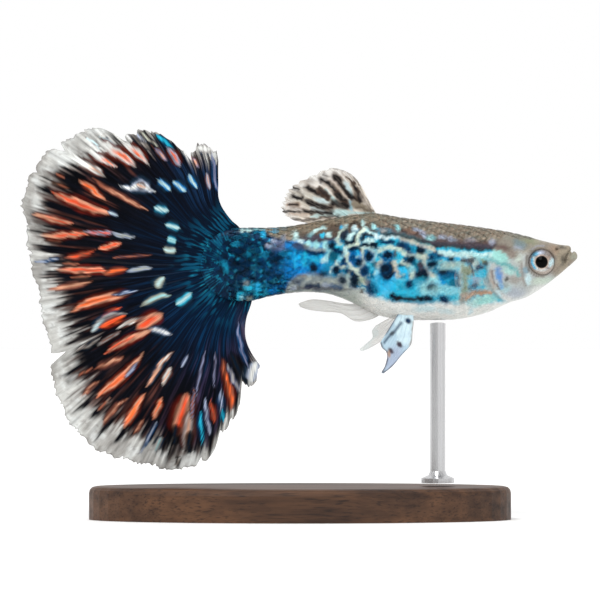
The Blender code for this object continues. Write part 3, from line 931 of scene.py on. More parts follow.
T = Tint
FLANK_MARKS: tuple[Dab | Stroke, ...] = (
    # olive patch over the stalk's root, with its pale scallops
    Dab(T.UMBER, 322, 233, 25, 8, 2, 3, 0.85),
    Dab(T.OLIVE, 312, 228, 14, 4, 4, 2, 0.7),
    Dab(T.UMBER, 334, 228, 8, 4, 10, 2, 0.7),
    Dab(T.PLUM, 318, 239, 17, 3.2, -3, 1.6, 0.9),
    Dab(T.ICE, 295.5, 236, 3.2, 5, 12, 1.6),
    Dab(T.FROST, 301, 241.5, 3, 2.4, -20, 1.2),
    Dab(T.PALE_CYAN, 307.5, 244, 4, 3.2, 20),
    Dab(T.PALE_CYAN, 315.5, 245, 4, 3.6, 10),
    Dab(T.PALE_CYAN, 325, 245, 3.4, 4.4, 20),
    Stroke(T.SAND, 4.5, ((305, 247), (315, 250), (324, 251)), 1.8, 0.7),
    Stroke(T.PALE_CYAN, 3.4, ((323, 243), (327, 250), (331, 251), (326, 259)), 1.5, 0.9),
    Dab(T.ICE, 324.5, 260.5, 3.4, 2.8, 0, 1.5),
    Dab(T.PALE_CYAN, 310.5, 234.5, 3.4, 2.2, 20, 1.3, 0.6),
    Stroke(T.ICE, 3, ((314, 231), (319, 229.5), (324, 227.5)), 1.2),
    Dab(T.CYAN, 323, 236, 2.2, 2.4),
    Dab(T.ICE, 328.5, 234.2, 2.8, 2.8),
    Dab(T.SKY, 341, 227.5, 2.2, 2),
    Dab(T.ICE, 346, 227, 3, 2.2, 10),
    Stroke(T.NAVY, 4.4, ((306, 251), (315, 254), (323, 253.5)), 1.6),
    Dab(T.PLUM, 299, 246.5, 8, 3.6, -10, 2, 0.85),
    Dab(T.INK, 332, 245.5, 3.6, 3.4, 20),
    Dab(T.CYAN, 340, 246.5, 4.5, 2.2, 0),
    # azure in front of the stalk
    Stroke(T.SKY, 3.8, ((295, 254), (295.5, 266)), 2, 0.85),
    Dab(T.NAVY, 300, 251, 3.4, 3, 0, 2, 0.5),
    Stroke(T.CYAN, 4, ((304.5, 254), (305, 266)), 2, 0.8),
    Stroke(T.CYAN, 6, ((312, 260), (319, 260)), 2.2, 0.85),
    Dab(T.DEEP, 309, 262.5, 2.2, 2.4, 0, 1.6, 0.6),
    Dab(T.INK, 313.5, 268, 3.2, 4.1),
    Dab(T.PETROL, 333.5, 257.5, 4.8, 6.5, -10, 1.5),
    Stroke(T.NAVY, 4.4, ((334, 250), (342, 252)), 1.4),
    Dab(T.DEEP, 343.5, 262.5, 4, 5.2, -10),
    Dab(T.NAVY, 343.5, 260.5, 2.5, 2.7),
    Stroke(T.ICE, 3, ((340, 257), (337.5, 261), (336, 265), (332, 268), (330.5, 273)), 1.3),
    Dab(T.CYAN, 339, 258.5, 2.2, 2.6, 0, 1.2, 0.8),
    Stroke(T.CREAM, 2.6, ((336, 264), (341, 268.5), (345, 266.5)), 1.2, 0.9),
    Dab(T.PETROL, 336, 270.5, 4.2, 4.6, 0, 1.6),
    Dab(T.INK, 336.5, 270, 3, 3.2),
    Stroke(T.PETROL, 6, ((347, 270.5), (354, 274)), 1.5),
    Stroke(T.NAVY, 4.4, ((346.5, 270.5), (352, 273.5)), 1.4),
    Dab(T.SAND, 342, 280, 7, 6, 0, 2.2, 0.8),
    Dab(T.CREAM, 348.5, 279.5, 2.2, 6.5, -4, 1.5, 0.8),
    Dab(T.INK, 342.5, 280.3, 3.2, 3.2, 0, 1.6, 0.9),
    Dab(T.INK, 354.5, 280.5, 3.9, 6.6, -6),
    Dab(T.INK, 323, 274, 3.2, 2.5, 0, 1.6, 0.8),
    Dab(T.DUST, 304, 276, 2.6, 2, 0, 1.8, 0.7),
    # rings under the dorsal fin
    Dab(T.SOOT, 349, 234, 8.5, 9.5, -20, 2, 0.55),
    Stroke(T.CREAM, 3.2, ((344, 230), (339.5, 234), (337, 240), (340, 245)), 1.4, 0.9),
    Stroke(
        T.INK, 4.6,
        ((345, 232), (342.5, 237), (345, 242), (351, 243), (355.5, 239.5), (354.5, 235)), 1.3,
    ),
    Stroke(T.ICE, 4, ((347.5, 238.5), (350, 235.5), (353.5, 233.5)), 1.4),
    Stroke(T.UMBER, 3.4, ((350, 231), (350, 225), (355, 222), (360, 225), (360, 231)), 1.2),
    Dab(T.FROST, 355, 228, 2.6, 3.4, 20),
    Stroke(T.ICE, 3.2, ((363, 222), (364, 229), (368, 231), (374, 234), (376, 237)), 1.4),
    Stroke(T.CREAM, 3.4, ((364, 230), (359, 234), (357.5, 239), (358, 244), (352, 246.5), (348, 247)), 1.4),
    Stroke(T.INK, 3.6, ((362, 240), (363, 235), (368, 234), (372, 236)), 1.2),
    Stroke(T.INK, 5, ((363, 245.5), (372, 246), (379, 244), (381, 240)), 1.4),
    Dab(T.ICE, 369, 241, 5.2, 2.6, 8),
    Dab(T.FROST, 376, 236, 3.2, 2.4, -20),
    Dab(T.PALE_CYAN, 373, 226.5, 2.4, 3.4, 20),
    Stroke(T.UMBER, 3, ((366, 224), (370, 229), (377, 232)), 1.2, 0.9),
    Dab(T.FROST, 384, 231, 3.6, 2.6, 0),
    Dab(T.FROST, 386, 238.5, 4.2, 2.2, 0),
    # the network of pale lines
    Stroke(T.ICE, 3.8, ((346, 247.5), (346, 256)), 1.4),
    Stroke(T.CREAM, 3.6, ((347, 255), (348.5, 263), (352, 268.5), (358, 272), (361, 278), (365, 284)), 1.4),
    Stroke(T.ICE, 3.6, ((361, 249.5), (366, 249), (372, 250), (373, 256), (371.5, 261)), 1.4),
    Stroke(T.CREAM, 2.8, ((362, 250), (361.5, 256), (363.5, 261), (361.5, 268), (357, 271)), 1.3),
    Stroke(T.CREAM, 2.8, ((361, 268), (367, 264), (371.5, 261)), 1.4, 0.45),
    Dab(T.MOSS, 362, 279, 3.6, 5.5, -20, 2.2, 0.55),
    Dab(T.AZURE, 354.5, 256.5, 6, 9, -6, 1.4),
    Stroke(T.INK, 3.6, ((351, 250.5), (356, 248.5), (360, 250.5)), 1.3),
    Dab(T.SKY, 356.8, 254.5, 2, 4.2, 0, 1.2),
    Dab(T.ICE, 357.5, 257, 1.6, 1.6, 0, 1.2, 0.8),
    Dab(T.INK, 358.3, 262.8, 3.2, 3.4),
    Dab(T.NAVY, 352.5, 258, 2.3, 4.3, 0, 1.2, 0.8),
    Dab(T.AZURE, 368.3, 257, 4.6, 5.4, -15, 1.3),
    Dab(T.INK, 368.3, 256.5, 3.5, 4.5, -15),
    Dab(T.CYAN, 370, 267, 5, 5, 0, 2.2, 0.9),
    Dab(T.DEEP, 364.5, 271.5, 4.4, 5.2, -20),
    Dab(T.NAVY, 364.5, 271, 3.2, 3.9),
    Dab(T.PETROL, 373, 264.5, 1.8, 3, 0, 1.4, 0.8),
    Dab(T.BEIGE, 380, 264, 3.4, 4.6, -30, 1.8),
    Dab(T.ICE, 377.5, 272, 2.6, 5, -14, 2, 0.7),
    Dab(T.DUST, 368, 283, 3.6, 4.6, 30, 2, 0.7),
    Dab(T.UMBER, 372.5, 288, 5.4, 7, 12, 2.2, 0.5),
    Dab(T.NAVY, 372, 288, 4, 6.4, 10),
    Dab(T.UMBER, 361, 291, 2, 2, 0, 1.5, 0.85),
    Stroke(T.NAVY, 5, ((306, 287.5), (318, 285.5)), 1.8, 0.9),
    Stroke(T.DEEP, 4.4, ((331, 286), (341, 287.5)), 1.8, 0.75),
    Stroke(T.PLUM, 3.6, ((298, 288), (350, 289.5)), 1.8, 0.5),
    Dab(T.LILAC, 326.5, 285.5, 4, 2.6, 0, 1.6, 0.7),
    Dab(T.PLUM, 296, 282, 5, 3, 0, 2, 0.55),
    Dab(T.LILAC, 293, 288.5, 3, 2.4, 0, 1.5, 0.7),
    # front flank
    Dab(T.SILVER, 350, 292.5, 6, 2.4, 0, 2, 0.6),
    Dab(T.DEEP, 300, 282, 5, 3, 0, 2.5, 0.35),
    Dab(T.SKY, 386, 281, 12, 14, -20, 5, 0.85),
    Dab(T.CYAN, 408, 285, 15, 7, 0, 3, 0.8),
    Dab(T.PALE_CYAN, 430, 286, 11, 12, 0, 3.5, 0.8),
    Stroke(T.FROST, 3, ((380, 237), (397, 237.5), (405, 239)), 1.3),
    Stroke(T.BEIGE, 4.4, ((402, 239.5), (412, 242), (422, 247), (433, 249)), 1.6),
    Stroke(T.CYAN, 5, ((380, 244), (395, 243), (404, 247), (412, 249), (421, 252)), 1.5),
    Stroke(T.NAVY, 4.2, ((381, 243), (392, 242.5)), 1.4),
    Dab(T.NAVY, 402, 246, 5.5, 3.6, -25),
    Dab(T.NAVY, 408.8, 249.3, 2.3, 3.2),
    Dab(T.INK, 420, 251, 4.2, 4, 0),
    Stroke(
        T.CREAM, 4.4,
        ((378, 251), (389, 247.5), (398, 249.5), (405, 254), (417, 256.5), (426, 256)), 1.6, 0.9,
    ),
    Dab(T.UMBER, 394.5, 254, 1.9, 4.2, 0, 1.4, 0.9),
    Dab(T.AZURE, 387, 256.5, 5.6, 4.4, 0, 1.6),
    Dab(T.INK, 387, 256, 4.6, 3.4, -15),
    Dab(T.AZURE, 388, 271, 7.6, 9.6, -22, 2.2, 0.8),
    Dab(T.INK, 387.8, 271, 5.8, 9.4, -26),
    Dab(T.INK, 384.5, 268.5, 4.3, 4.3, 0),
    Stroke(T.BEIGE, 3.8, ((394, 262), (395, 269), (398, 276)), 1.6, 0.9),
    Stroke(T.SKY, 4.4, ((400, 269), (405, 273), (407, 279)), 1.6),
    Dab(T.PETROL, 400.5, 265.5, 2.9, 2.6),
    Stroke(T.CREAM, 4.8, ((402, 261.5), (409, 264), (413, 270), (412, 278)), 1.7, 0.95),
    Dab(T.MOSS, 408, 269, 2.6, 4.4, 10, 2, 0.35),
    Stroke(T.BEIGE, 4.2, ((423, 258), (424.5, 265), (427, 272), (433, 276)), 1.7, 0.9),
    Stroke(T.PETROL, 4.6, ((405, 259), (411, 260), (416, 266), (419, 273)), 1.5),
    Dab(T.INK, 410, 259, 4.6, 3.4, -10),
    Dab(T.INK, 421.5, 275.5, 5.8, 6.6, -30),
    Dab(T.PLUM, 420, 265.5, 2.5, 5.2, 0),
    Dab(T.INK, 432, 264.5, 4.5, 3.2, 28),
    Dab(T.NAVY, 409, 284.3, 3.9, 3.1, 0),
    Dab(T.INK, 432.5, 287.5, 5.3, 3.1, -5),
    Dab(T.NAVY, 443.5, 299, 4.3, 2.8, -25),
    Stroke(T.TEAL, 8, ((392, 298), (420, 300), (431, 299)), 1.8, 0.8),
    Stroke(T.INK, 5.6, ((392, 296), (399, 298.5)), 1.4),
    Stroke(T.SOOT, 3.4, ((396, 298.5), (420, 299)), 1.3, 0.95),
    Stroke(T.INK, 3.8, ((421, 298), (430.5, 298.5)), 1.3),
    Dab(T.SKY, 451, 280, 14, 12, 0, 3.5, 0.5),
    Dab(T.TEAL, 450, 278.5, 10.6, 9.6, -8, 1.8),
    Dab(T.DEEP, 449, 275, 8, 4.4, -12, 2.8, 0.75),
    Dab(T.PETROL, 454, 283, 4.4, 3.6, 0, 2.4, 0.6),
    Dab(T.SKY, 446, 282, 3, 2.4, 20, 2.2, 0.45),
    Dab(T.SKY, 453, 278, 2.4, 1.8, 0, 2, 0.4),
    Stroke(T.NAVY, 2.8, ((440, 272.5), (446, 270.5), (455, 272.5), (458.5, 278), (457.5, 285)), 2.4, 0.9),
    Dab(T.INK, 442, 272.5, 3.8, 3, 0, 1.8),
    Stroke(T.AZURE, 3, ((439, 276), (443, 283)), 2, 0.6),
    Dab(T.PALE_CYAN, 452, 266, 12, 4, 5, 2.4, 0.8),
    Dab(T.SAND, 449, 265.5, 8, 3, 5, 2.2, 0.7),
    Dab(T.PALE_CYAN, 446, 290, 14, 4, -4, 2.5, 0.7),
    Stroke(T.SKY, 3.8, ((429, 256), (442, 257.5), (458, 259), (472, 262)), 1.4, 0.9),
    Dab(T.NAVY, 431, 257, 2.7, 2.3),
    Dab(T.NAVY, 439, 256, 3, 2.2),
    Dab(T.INK, 451, 257, 3.3, 4.1),
    Stroke(T.INK, 5.2, ((461.5, 260.5), (465.5, 261)), 1.3),
    Dab(T.INK, 470, 260.5, 3, 3.5),
    # shoulder
    Stroke(T.MOSS, 4.6, ((462, 266), (465, 280), (464, 293)), 2, 0.85),
    Stroke(T.SAND, 3, ((460, 268), (460.5, 288)), 1.8, 0.7),
    Dab(T.MOSS, 467, 271, 3.6, 4.6, 0, 1.8, 0.8),
    Stroke(T.UMBER, 2.6, ((468, 266.5), (472, 270), (472.5, 276)), 1.4, 0.85),
    Stroke(T.MOSS, 3.6, ((472, 256), (478, 257), (483, 261)), 1.6, 0.9),
    Dab(T.CREAM, 475, 264, 3.4, 4, 0, 1.8, 0.7),
    Dab(T.UMBER, 485, 263.5, 3, 2.4, -30, 1.5, 0.85),
    Dab(T.NAVY, 479.5, 268.3, 3.1, 3.4),
    Dab(T.CYAN, 481, 274, 6, 4.6, 35, 1.8),
    Stroke(T.CYAN, 3, ((471, 280), (471, 287), (476, 290), (481, 287)), 1.4),
    Dab(T.LILAC, 475, 280, 4, 3.4, 0, 1.8, 0.7),
    Dab(T.NAVY, 473.5, 285.5, 2.5, 2.3, 0, 1.3, 0.85),
    Dab(T.DUST, 487, 282, 4, 7, 0, 2.2, 0.5),
    Stroke(T.TAN, 4.6, ((466, 298.5), (472, 294.5), (481, 292.5), (489, 292.5)), 1.6, 0.95),
    Dab(T.ICE, 480.5, 300.5, 12.5, 4, 12, 1.6),
    Dab(T.ICE, 474, 306, 6, 2.6, 0, 1.8, 0.9),
    Dab(T.DUST, 461.5, 299.5, 2.6, 4, 0, 1.8, 0.8),
    Dab(T.FROST, 425, 308.5, 12, 3.4, 0, 2.4, 0.8),
    Dab(T.FROST, 446, 311, 8, 2.6, -6, 2, 0.7),
    Dab(T.FROST, 470, 311.5, 2, 3.4, -30, 1.4, 0.8),
    # dusky stripe, its mauve bloom and the bright line below it
    Stroke(T.ICE, 6.4, ((441, 252), (455, 254), (470, 254.5), (492, 254.5)), 1.8),
    Stroke(T.CYAN, 2.8, ((437, 248.5), (455, 250.5), (468, 249), (480, 251.5), (495, 252)), 1.2, 0.95),
    Stroke(T.PALE_CYAN, 3, ((474, 256), (484, 258), (494, 258)), 1.6, 0.8),
    Stroke(
        T.UMBER, 6.6,
        ((396, 230), (412, 233), (424, 238), (440, 242), (470, 244.5), (502, 246)), 2, 0.75,
    ),
    Stroke(
        T.RUSSET, 6.5,
        ((380, 230), (400, 231), (420, 235.5), (440, 240), (464, 243), (494, 245)), 2.6, 0.7,
    ),
    Stroke(
        T.SOOT, 4.4,
        ((382, 234), (398, 235), (412, 238.5), (424, 242), (440, 245.5), (462, 247.5), (494, 249.5)),
        2, 0.92,
    ),
    Stroke(T.PLUM, 5, ((424, 239.5), (440, 243), (462, 244.8), (494, 247)), 2.2, 0.7),
    Dab(T.PALE_CYAN, 397.5, 227.5, 2.2, 3.2, 30, 1.4),
    Dab(T.TAN, 409, 231, 5, 2.4, -8, 1.8, 0.35),
    Stroke(T.LILAC, 3, ((414, 229), (420, 231.5), (425, 235.5)), 1.5, 0.9),
    Dab(T.PALE_CYAN, 430, 238, 4.4, 2.6, 0, 1.6, 0.9),
    Dab(T.LILAC, 441, 236.5, 3.2, 2.2, 0, 1.6, 0.8),
    Dab(T.LILAC, 450, 239, 5, 1.8, -8, 1.6, 0.75),
    Dab(T.LILAC, 491, 242, 3.4, 3, 0, 1.8, 0.6),
    Dab(T.LILAC, 470, 240, 5, 2.2, 0, 2, 0.35),
    # pale and bright spots of the stalk
    Dab(T.ICE, 243, 230, 2.4, 1.8),
    Dab(T.ICE, 249, 230, 2.8, 2.4),
    Stroke(T.PALE_CYAN, 1.8, ((254, 229.5), (263, 230)), 1.2),
    Dab(T.SKY, 263.5, 234.5, 2.4, 3.8, 0),
    Dab(T.CYAN, 248.5, 288, 4.4, 4, -20, 1.8),
    Dab(T.TAN, 246.5, 283.5, 2, 2.6, 0, 1.4, 0.8),
    Dab(T.SKY, 257.5, 287, 3.8, 4.2, 0, 1.8),
    Dab(T.CYAN, 240, 296.5, 3.2, 5, -25, 1.6),
    Dab(T.ICE, 241, 298.5, 2, 2, 0, 1.5, 0.9),
    Dab(T.SAND, 249, 298.5, 3.2, 2.4, 0, 1.4, 0.9),
    Dab(T.CYAN, 257, 294.5, 3, 2.2, 0, 1.4),
    Dab(T.CYAN, 265, 293.5, 3, 2, 0, 1.5, 0.8),
    Dab(T.AZURE, 272.5, 291, 3.8, 3.2, 0, 1.6),
    Dab(T.MAUVE, 278, 246, 9, 4.6, -4, 2.8, 0.5),
    Dab(T.LILAC, 274, 240.5, 3.2, 2.2, 0, 1.5, 0.95),
    Dab(T.LILAC, 268.5, 246, 2.4, 2.8, 0, 1.5, 0.7),
    Dab(T.LILAC, 283.5, 239, 1.8, 3.8, -10, 1.4, 0.7),
    Dab(T.TEAL, 249, 253.5, 1.8, 4, 0, 1.5, 0.9),
    Dab(T.TEAL, 225, 267, 2.6, 6, 30, 1.8, 0.9),
    Dab(T.AZURE, 288, 247, 3, 3.4, 0, 2, 0.9),
    Dab(T.SILVER, 491, 285, 6, 9, 24, 4, 0.75),
    Dab(T.MINT, 484, 300, 11, 4, 14, 2.4, 0.8),
    Stroke(T.TAN, 5, ((462, 296), (470, 293), (480, 292), (489, 292)), 2.2, 0.75),
    Dab(T.CYAN, 412, 269, 4, 3.4, 0, 2.5, 0.6),
    Dab(T.CYAN, 420.5, 280, 4, 3, 0, 2.5, 0.65),
    Dab(T.SKY, 330, 262, 4, 3, 0, 2.5, 0.45),
    Dab(T.AZURE, 285, 268, 7, 6, 0, 4, 0.4),
    Dab(T.PLUM, 281, 239, 6, 3, 0, 3, 0.35),
    Dab(T.PETROL, 310, 236, 3, 2.2, 0, 2, 0.4),
)
FACE_MARKS: tuple[Dab | Stroke, ...] = (
    Dab(T.SILVER, 512, 285, 22, 14, 0, 5, 0.7),
    Dab(T.LILAC, 514, 293, 10, 5, -6, 4, 0.45),
    Dab(T.PALE_CYAN, 503, 288, 6, 5, 0, 3, 0.5),
    Dab(T.MINT, 498, 257, 10.5, 5.2, -30, 1.8, 0.9),
    Dab(T.CREAM, 517, 259, 3.6, 5, -20, 2.4, 0.5),
    Dab(T.MINT, 507, 271, 6.5, 3, -30, 2, 0.6),
    Stroke(
        T.TURQUOISE, 3,
        ((486, 257.5), (492, 261), (498, 264.5), (505, 265), (511, 268), (516, 272), (517.5, 276)), 2, 0.85,
    ),
    Dab(T.DUST, 514, 280, 6.5, 3.4, 0, 2.2, 0.6),
    Dab(T.SOOT, 505.5, 278.8, 2.2, 2.6, 0, 1.5, 0.8),
    Dab(T.DUST, 505, 285.5, 2.6, 2.6, 0, 1.8, 0.5),
    Stroke(T.LAPIS, 6, ((496.5, 270), (498, 277)), 1.8, 0.8),
    Stroke(T.LAPIS, 3.6, ((498, 276), (501, 288)), 1.8, 0.7),
    Stroke(T.MAUVE, 2, ((497, 268), (500, 276), (501, 284)), 1.6, 0.5),
    Stroke(T.RUSSET, 2, ((489.5, 270), (491, 276), (494, 283), (498.5, 289.5)), 1.4, 0.85),
    Stroke(T.TAN, 2.2, ((487.5, 274), (489.5, 281), (493, 287)), 1.8, 0.6),
    Stroke(T.FROST, 2.2, ((496, 291), (500.5, 297.5)), 1.1, 0.8),
    Dab(T.DUST, 511, 254.8, 6.2, 4, -14, 1.8, 0.95),
    Dab(T.RUSSET, 501, 247.8, 9, 2.8, -6, 2.2, 0.85),
    Dab(T.DUST, 504, 242, 6, 3.4, -10, 2, 0.5),
    Dab(T.TEAL, 519, 244.5, 6.2, 4.6, -30, 3, 0.28),
    Dab(T.LILAC, 517, 248, 4.4, 3, 0, 2.2, 0.4),
    Stroke(T.DUST, 3.6, ((519.5, 262), (521, 272), (524.5, 285)), 1.8, 0.7),
    Dab(T.TEAL, 525, 270.5, 3, 4, -20, 1.8, 0.45),
    Dab(T.FROST, 527.5, 279.5, 3.4, 5.6, -14, 1.5),
    Dab(T.CREAM, 541, 281, 11, 3.6, 8, 2.4, 0.75),
    Dab(T.PEARL, 536, 291, 10, 5, 30, 3, 0.7),
    Dab(T.MOSS, 530, 241.5, 9, 3, -12, 2.5, 0.5),
    Dab(T.DUST, 547, 246, 11, 2.6, -10, 2.2, 0.5),
    Dab(T.TAN, 553, 250, 5, 4.4, 0, 2.6, 0.35),
    Dab(T.SOOT, 563.5, 259, 3, 4, 0, 2.4, 0.5),
    Dab(T.SOOT, 561, 247.5, 5, 1.6, 0, 1.6, 0.45),
    Dab(T.DUST, 556, 270, 6, 3, 35, 2.4, 0.6),
    Dab(T.SAND, 573, 256.5, 3.6, 4, 0, 2, 0.6),
    Dab(T.DUST, 572, 262, 4, 2, 30, 1.6, 0.6),
)
ORBIT_MARKS: tuple[Dab | Stroke, ...] = (
    Dab(T.DUST, 540.3, 262, 16, 15.6, 0, 2, 0.6),
    Stroke(T.UMBER, 1.3, ((525.5, 256), (525.5, 266), (529, 272.5), (535, 276.3), (543, 276.8)), 1, 0.65),
    Stroke(T.LILAC, 1.4, ((530, 250), (536, 246), (543, 246)), 1, 0.35),
)


def near_stalk(colour: Array, degrees: Array, reach: Array, grain: Grain) -> Array:
    """Lays the teal beads, which run out in rays round the stalk's end, over a ground.

    Args:
        colour: The ground's colours.
        degrees: Direction from the stalk's end; 0 is straight back.
        reach: Distance from it.
        grain: The noise that shapes the beads.

    Returns:
        The colours with the beads.
    """
    waves = 0.5 + 0.5 * np.cos(np.radians(degrees) * 74 + 2.2 * grain.at(degrees * 0.08, reach * 0.9))
    beads = ramp(grain.at(degrees * 0.22, reach * 1.5) + 0.9 * (waves - 0.5), 0.0, 0.6)
    near = ramp(reach, 6.6, 3.4) * ramp(reach, 1.2, 2.4)
    colour = blend(colour, (0.0015, 0.010, 0.028), 0.7 * near)
    colour = blend(colour, (0.003, 0.085, 0.17), 0.85 * near * beads)
    glow = ramp(grain.at(degrees * 0.3 + 40, reach * 2.2), 0.2, 0.7) * ramp(reach, 5.2, 3.8)
    return blend(colour, (0.012, 0.24, 0.34), 0.75 * near * beads * glow)


@dataclass(frozen=True)
class Spread:
    """Places of the body laid out for painting: their squares, their side and the noise there."""

    points: Array
    column: Array
    row: Array
    side: Array
    drift: Array
    ripple: Array
    fleck: Array


BELLY_LINE = Curve([  # upper edge of the silver belly, x and z
    (-6.0, -4.2), (-1.7, -3.2), (-1.0, -1.6), (0.2, -0.85), (2.4, -0.95), (4.0, -1.5), (5.5, -2.2),
    (6.6, -2.8), (8.0, -3.15), (12.0, -3.35), (15.0, -3.4), (19.0, -3.2), (25.0, -3.0),
])
BACK_LINE = Curve([  # lower edge of the olive back
    (-9.0, 4.4), (-3.6, 3.35), (-2.6, 2.6), (-1.2, 2.2), (0.0, 2.15), (1.6, 2.1), (3.0, 2.35),
    (3.8, 3.0), (6.5, 3.3), (8.0, 3.2), (10.0, 2.7), (12.0, 2.0), (18.0, 1.7), (25.0, 1.6),
])
SCALED_BACK = Curve([(-9, 4.4), (-2, 2.7), (3, 3.4), (8, 3.2), (12, 2.2), (25, 1.7)])


@dataclass
class FlankMarkings:
    """The pattern of the scaled body, worked out for any points near its surface."""

    form: BodyForm
    grain: Grain = field(default_factory=lambda: Grain(11))

    def layered(
        self, colour: Array, column: Array, row: Array, marks: tuple[Dab | Stroke, ...]
    ) -> Array:
        """Paints marks over a ground, in their order.

        Args:
            colour: The ground's colours.
            column: Columns of the places on the drawing sheet.
            row: Rows of the places.
            marks: The marks, lowest first.

        Returns:
            The painted colours.
        """
        for mark in marks:
            if mark.tint in (Tint.INK, Tint.NAVY) and isinstance(mark, Dab):
                ring = replace(mark, length=mark.length + 2.2, height=mark.height + 2.2, soft=2.2)
                share = 0.6 * ring.cover(column, row)
                colour = blend(colour, Tint.DEEP.value, share)
            share = mark.cover(column, row)
            touched = share > 0.002
            colour[touched] = blend(colour[touched], mark.tint.value, share[touched])
        return colour

    def netted(self, colour: Array, column: Array, row: Array, side: Array) -> Array:
        """Breaks the plain turquoise up into cream rings round dark spots.

        Args:
            colour: The ground's colours.
            column: Columns of the places on the drawing sheet.
            row: Rows of the places.
            side: A shift of the noise that tells the two flanks apart.

        Returns:
            The colours with the rings and spots.
        """
        spots = self.grain.cloudy(column * 0.15 + side, row * 0.17 + 300)
        patch = ramp(column, 332, 346) * ramp(column, 488, 476)
        patch = patch * ramp(row, 240, 246) * ramp(row, 294, 287)
        colour = blend(colour, (0.42, 0.55, 0.47), 0.75 * patch * bell(spots, 0.08, 0.07))
        colour = blend(colour, (0.002, 0.16, 0.33), 0.6 * patch * ramp(spots, 0.15, 0.27))
        return blend(colour, (0.0015, 0.02, 0.05), 0.85 * patch * ramp(spots, 0.30, 0.42))

    def laid_out(self, points: Array) -> Spread:
        """Works out the squares, the side and the noise of points.

        Args:
            points: Fish millimetres.

        Returns:
            The points, laid out for painting.
        """
        x, y, z = points.T
        side = np.sign(y) * 40 * ramp(np.abs(y), 0.0, 0.3)
        column, row = squares(x, z)
        drift = self.grain.cloudy(x * 0.9 + side, z * 0.9)
        ripple = self.grain.cloudy(x * 3.1 + side, z * 3.1)
        fleck = self.grain.cloudy(x * 4.6 + side, z * 4.0 + 20)
        return Spread(points, column, row, side, drift, ripple, fleck)

    def metal(self, at: Spread) -> Array:
        """The turquoise flank, azure toward the stalk.

        Args:
            at: The places.

        Returns:
            Their colours.
        """
        column, ripple, fleck = at.column, at.ripple, at.fleck
        colour = plain(Tint.CYAN.value, len(column))
        colour = blend(colour, Tint.PALE_CYAN.value, 0.55 * ramp(at.drift + 0.5 * ripple, -0.1, 0.45))
        front = ramp(column, 398, 418) * ramp(at.drift + 0.4 * ripple, -0.8, 0.0)
        colour = blend(colour, (0.20, 0.44, 0.42), 0.35 * front)
        cells = ramp(column + 3 * ripple, 318, 328) * ramp(column + 3 * ripple, 378, 368)
        colour = blend(colour, (0.004, 0.15, 0.30), 0.85 * cells)
        teal = 0.55 * ramp(column, 384, 362) * ramp(ripple, -0.4, 0.3)
        colour = blend(colour, Tint.TEAL.value, teal)
        blue = ramp(column, 330, 318) * ramp(at.drift, -0.9, 0.1)
        colour = blend(colour, Tint.AZURE.value, blue)
        colour = blend(colour, (0.001, 0.075, 0.24), 0.85 * blue * ramp(0.6 * ripple + fleck, 0.0, 0.5))
        shine = bell(column, 309, 16) * bell(at.row, 258, 8)
        return blend(colour, (0.01, 0.62, 0.92), 0.8 * blue * shine * ramp(fleck, 0.2, -0.3))

    def stalk(self, colour: Array, at: Spread) -> Array:
        """Darkens the tail stalk to navy with teal glints, and runs it out into the tail's rays.

        Args:
            colour: The flank's colours.
            at: The places.

        Returns:
            The colours with the stalk.
        """
        x, _, z = at.points.T
        column, fleck = at.column, at.fleck
        stalk = ramp(column + 5 * at.ripple, 297, 276)
        colour = blend(colour, Tint.DEEP.value, stalk)
        colour = blend(colour, Tint.NAVY.value, stalk * ramp(column + 8 * at.drift, 276, 248))
        colour = blend(colour, Tint.INK.value, 0.9 * stalk * ramp(at.ripple, 0.15, -0.35))
        colour = blend(colour, Tint.TEAL.value, 0.75 * stalk * ramp(fleck, 0.18, 0.5))
        glints = stalk * ramp(fleck, 0.38, 0.62) * ramp(column, 225, 262)
        colour = blend(colour, Tint.SKY.value, 0.75 * glints)
        reach = np.hypot(x - self.form.end_x, z)
        degrees = np.degrees(np.arctan2(z, self.form.end_x - x))
        ends = near_stalk(colour, degrees, np.maximum(reach, 2.0), Grain(23))
        behind = ramp(x, -4.3, -6.0) * ramp(reach, 1.2, 2.6)
        return colour + (ends - colour) * behind[:, None]

    def belly(self, at: Spread) -> tuple[Array, Array]:
        """The silver belly, grey before the stalk.

        Args:
            at: The places.

        Returns:
            Its colours, and how far each place belongs to it.
        """
        x, _, z = at.points.T
        pearl = plain(Tint.PEARL.value, len(x))
        pearl = blend(pearl, (0.33, 0.38, 0.34), 0.85 * ramp(at.column, 372, 350))
        dusky = ramp(at.column, 348, 325) * ramp(at.ripple, -0.5, 0.3)
        pearl = blend(pearl, (0.11, 0.15, 0.19), 0.6 * dusky)
        return pearl, ramp(BELLY_LINE(x) - z + 0.25 * at.ripple, -0.3, 0.35)

    def back(self, at: Spread) -> tuple[Array, Array]:
        """The olive back, with dusky bars between its scale rows.

        Args:
            at: The places.

        Returns:
            Its colours, and how far each place belongs to it.
        """
        x, _, z = at.points.T
        column, ripple = at.column, at.ripple
        edge = BACK_LINE(x)
        olive = plain(Tint.OLIVE.value, len(x))
        olive = blend(olive, (0.27, 0.245, 0.19), ramp(at.drift + 0.5 * ripple, -0.2, 0.6))
        olive = blend(olive, Tint.UMBER.value, 0.5 * ramp(ripple, 0.05, 0.6))
        bars = 0.5 + 0.5 * np.cos(2 * math.pi * (x - 0.55 * (z - edge)) / 0.43)
        ahead = ramp(column, 375, 392)
        olive = blend(olive, (0.14, 0.10, 0.075), 0.5 * bars * ahead * ramp(ripple, -0.8, 0.0))
        olive = blend(olive, (0.34, 0.31, 0.26), 0.5 * (1 - bars) * ahead)
        low_back = ramp(z - edge, 0.95, 0.1) * ramp(column, 288, 298) * ramp(column, 352, 335)
        olive = blend(olive, (0.045, 0.030, 0.036), 0.85 * low_back)
        return olive, ramp(z - edge + 0.12 * ripple, -0.14, 0.18)

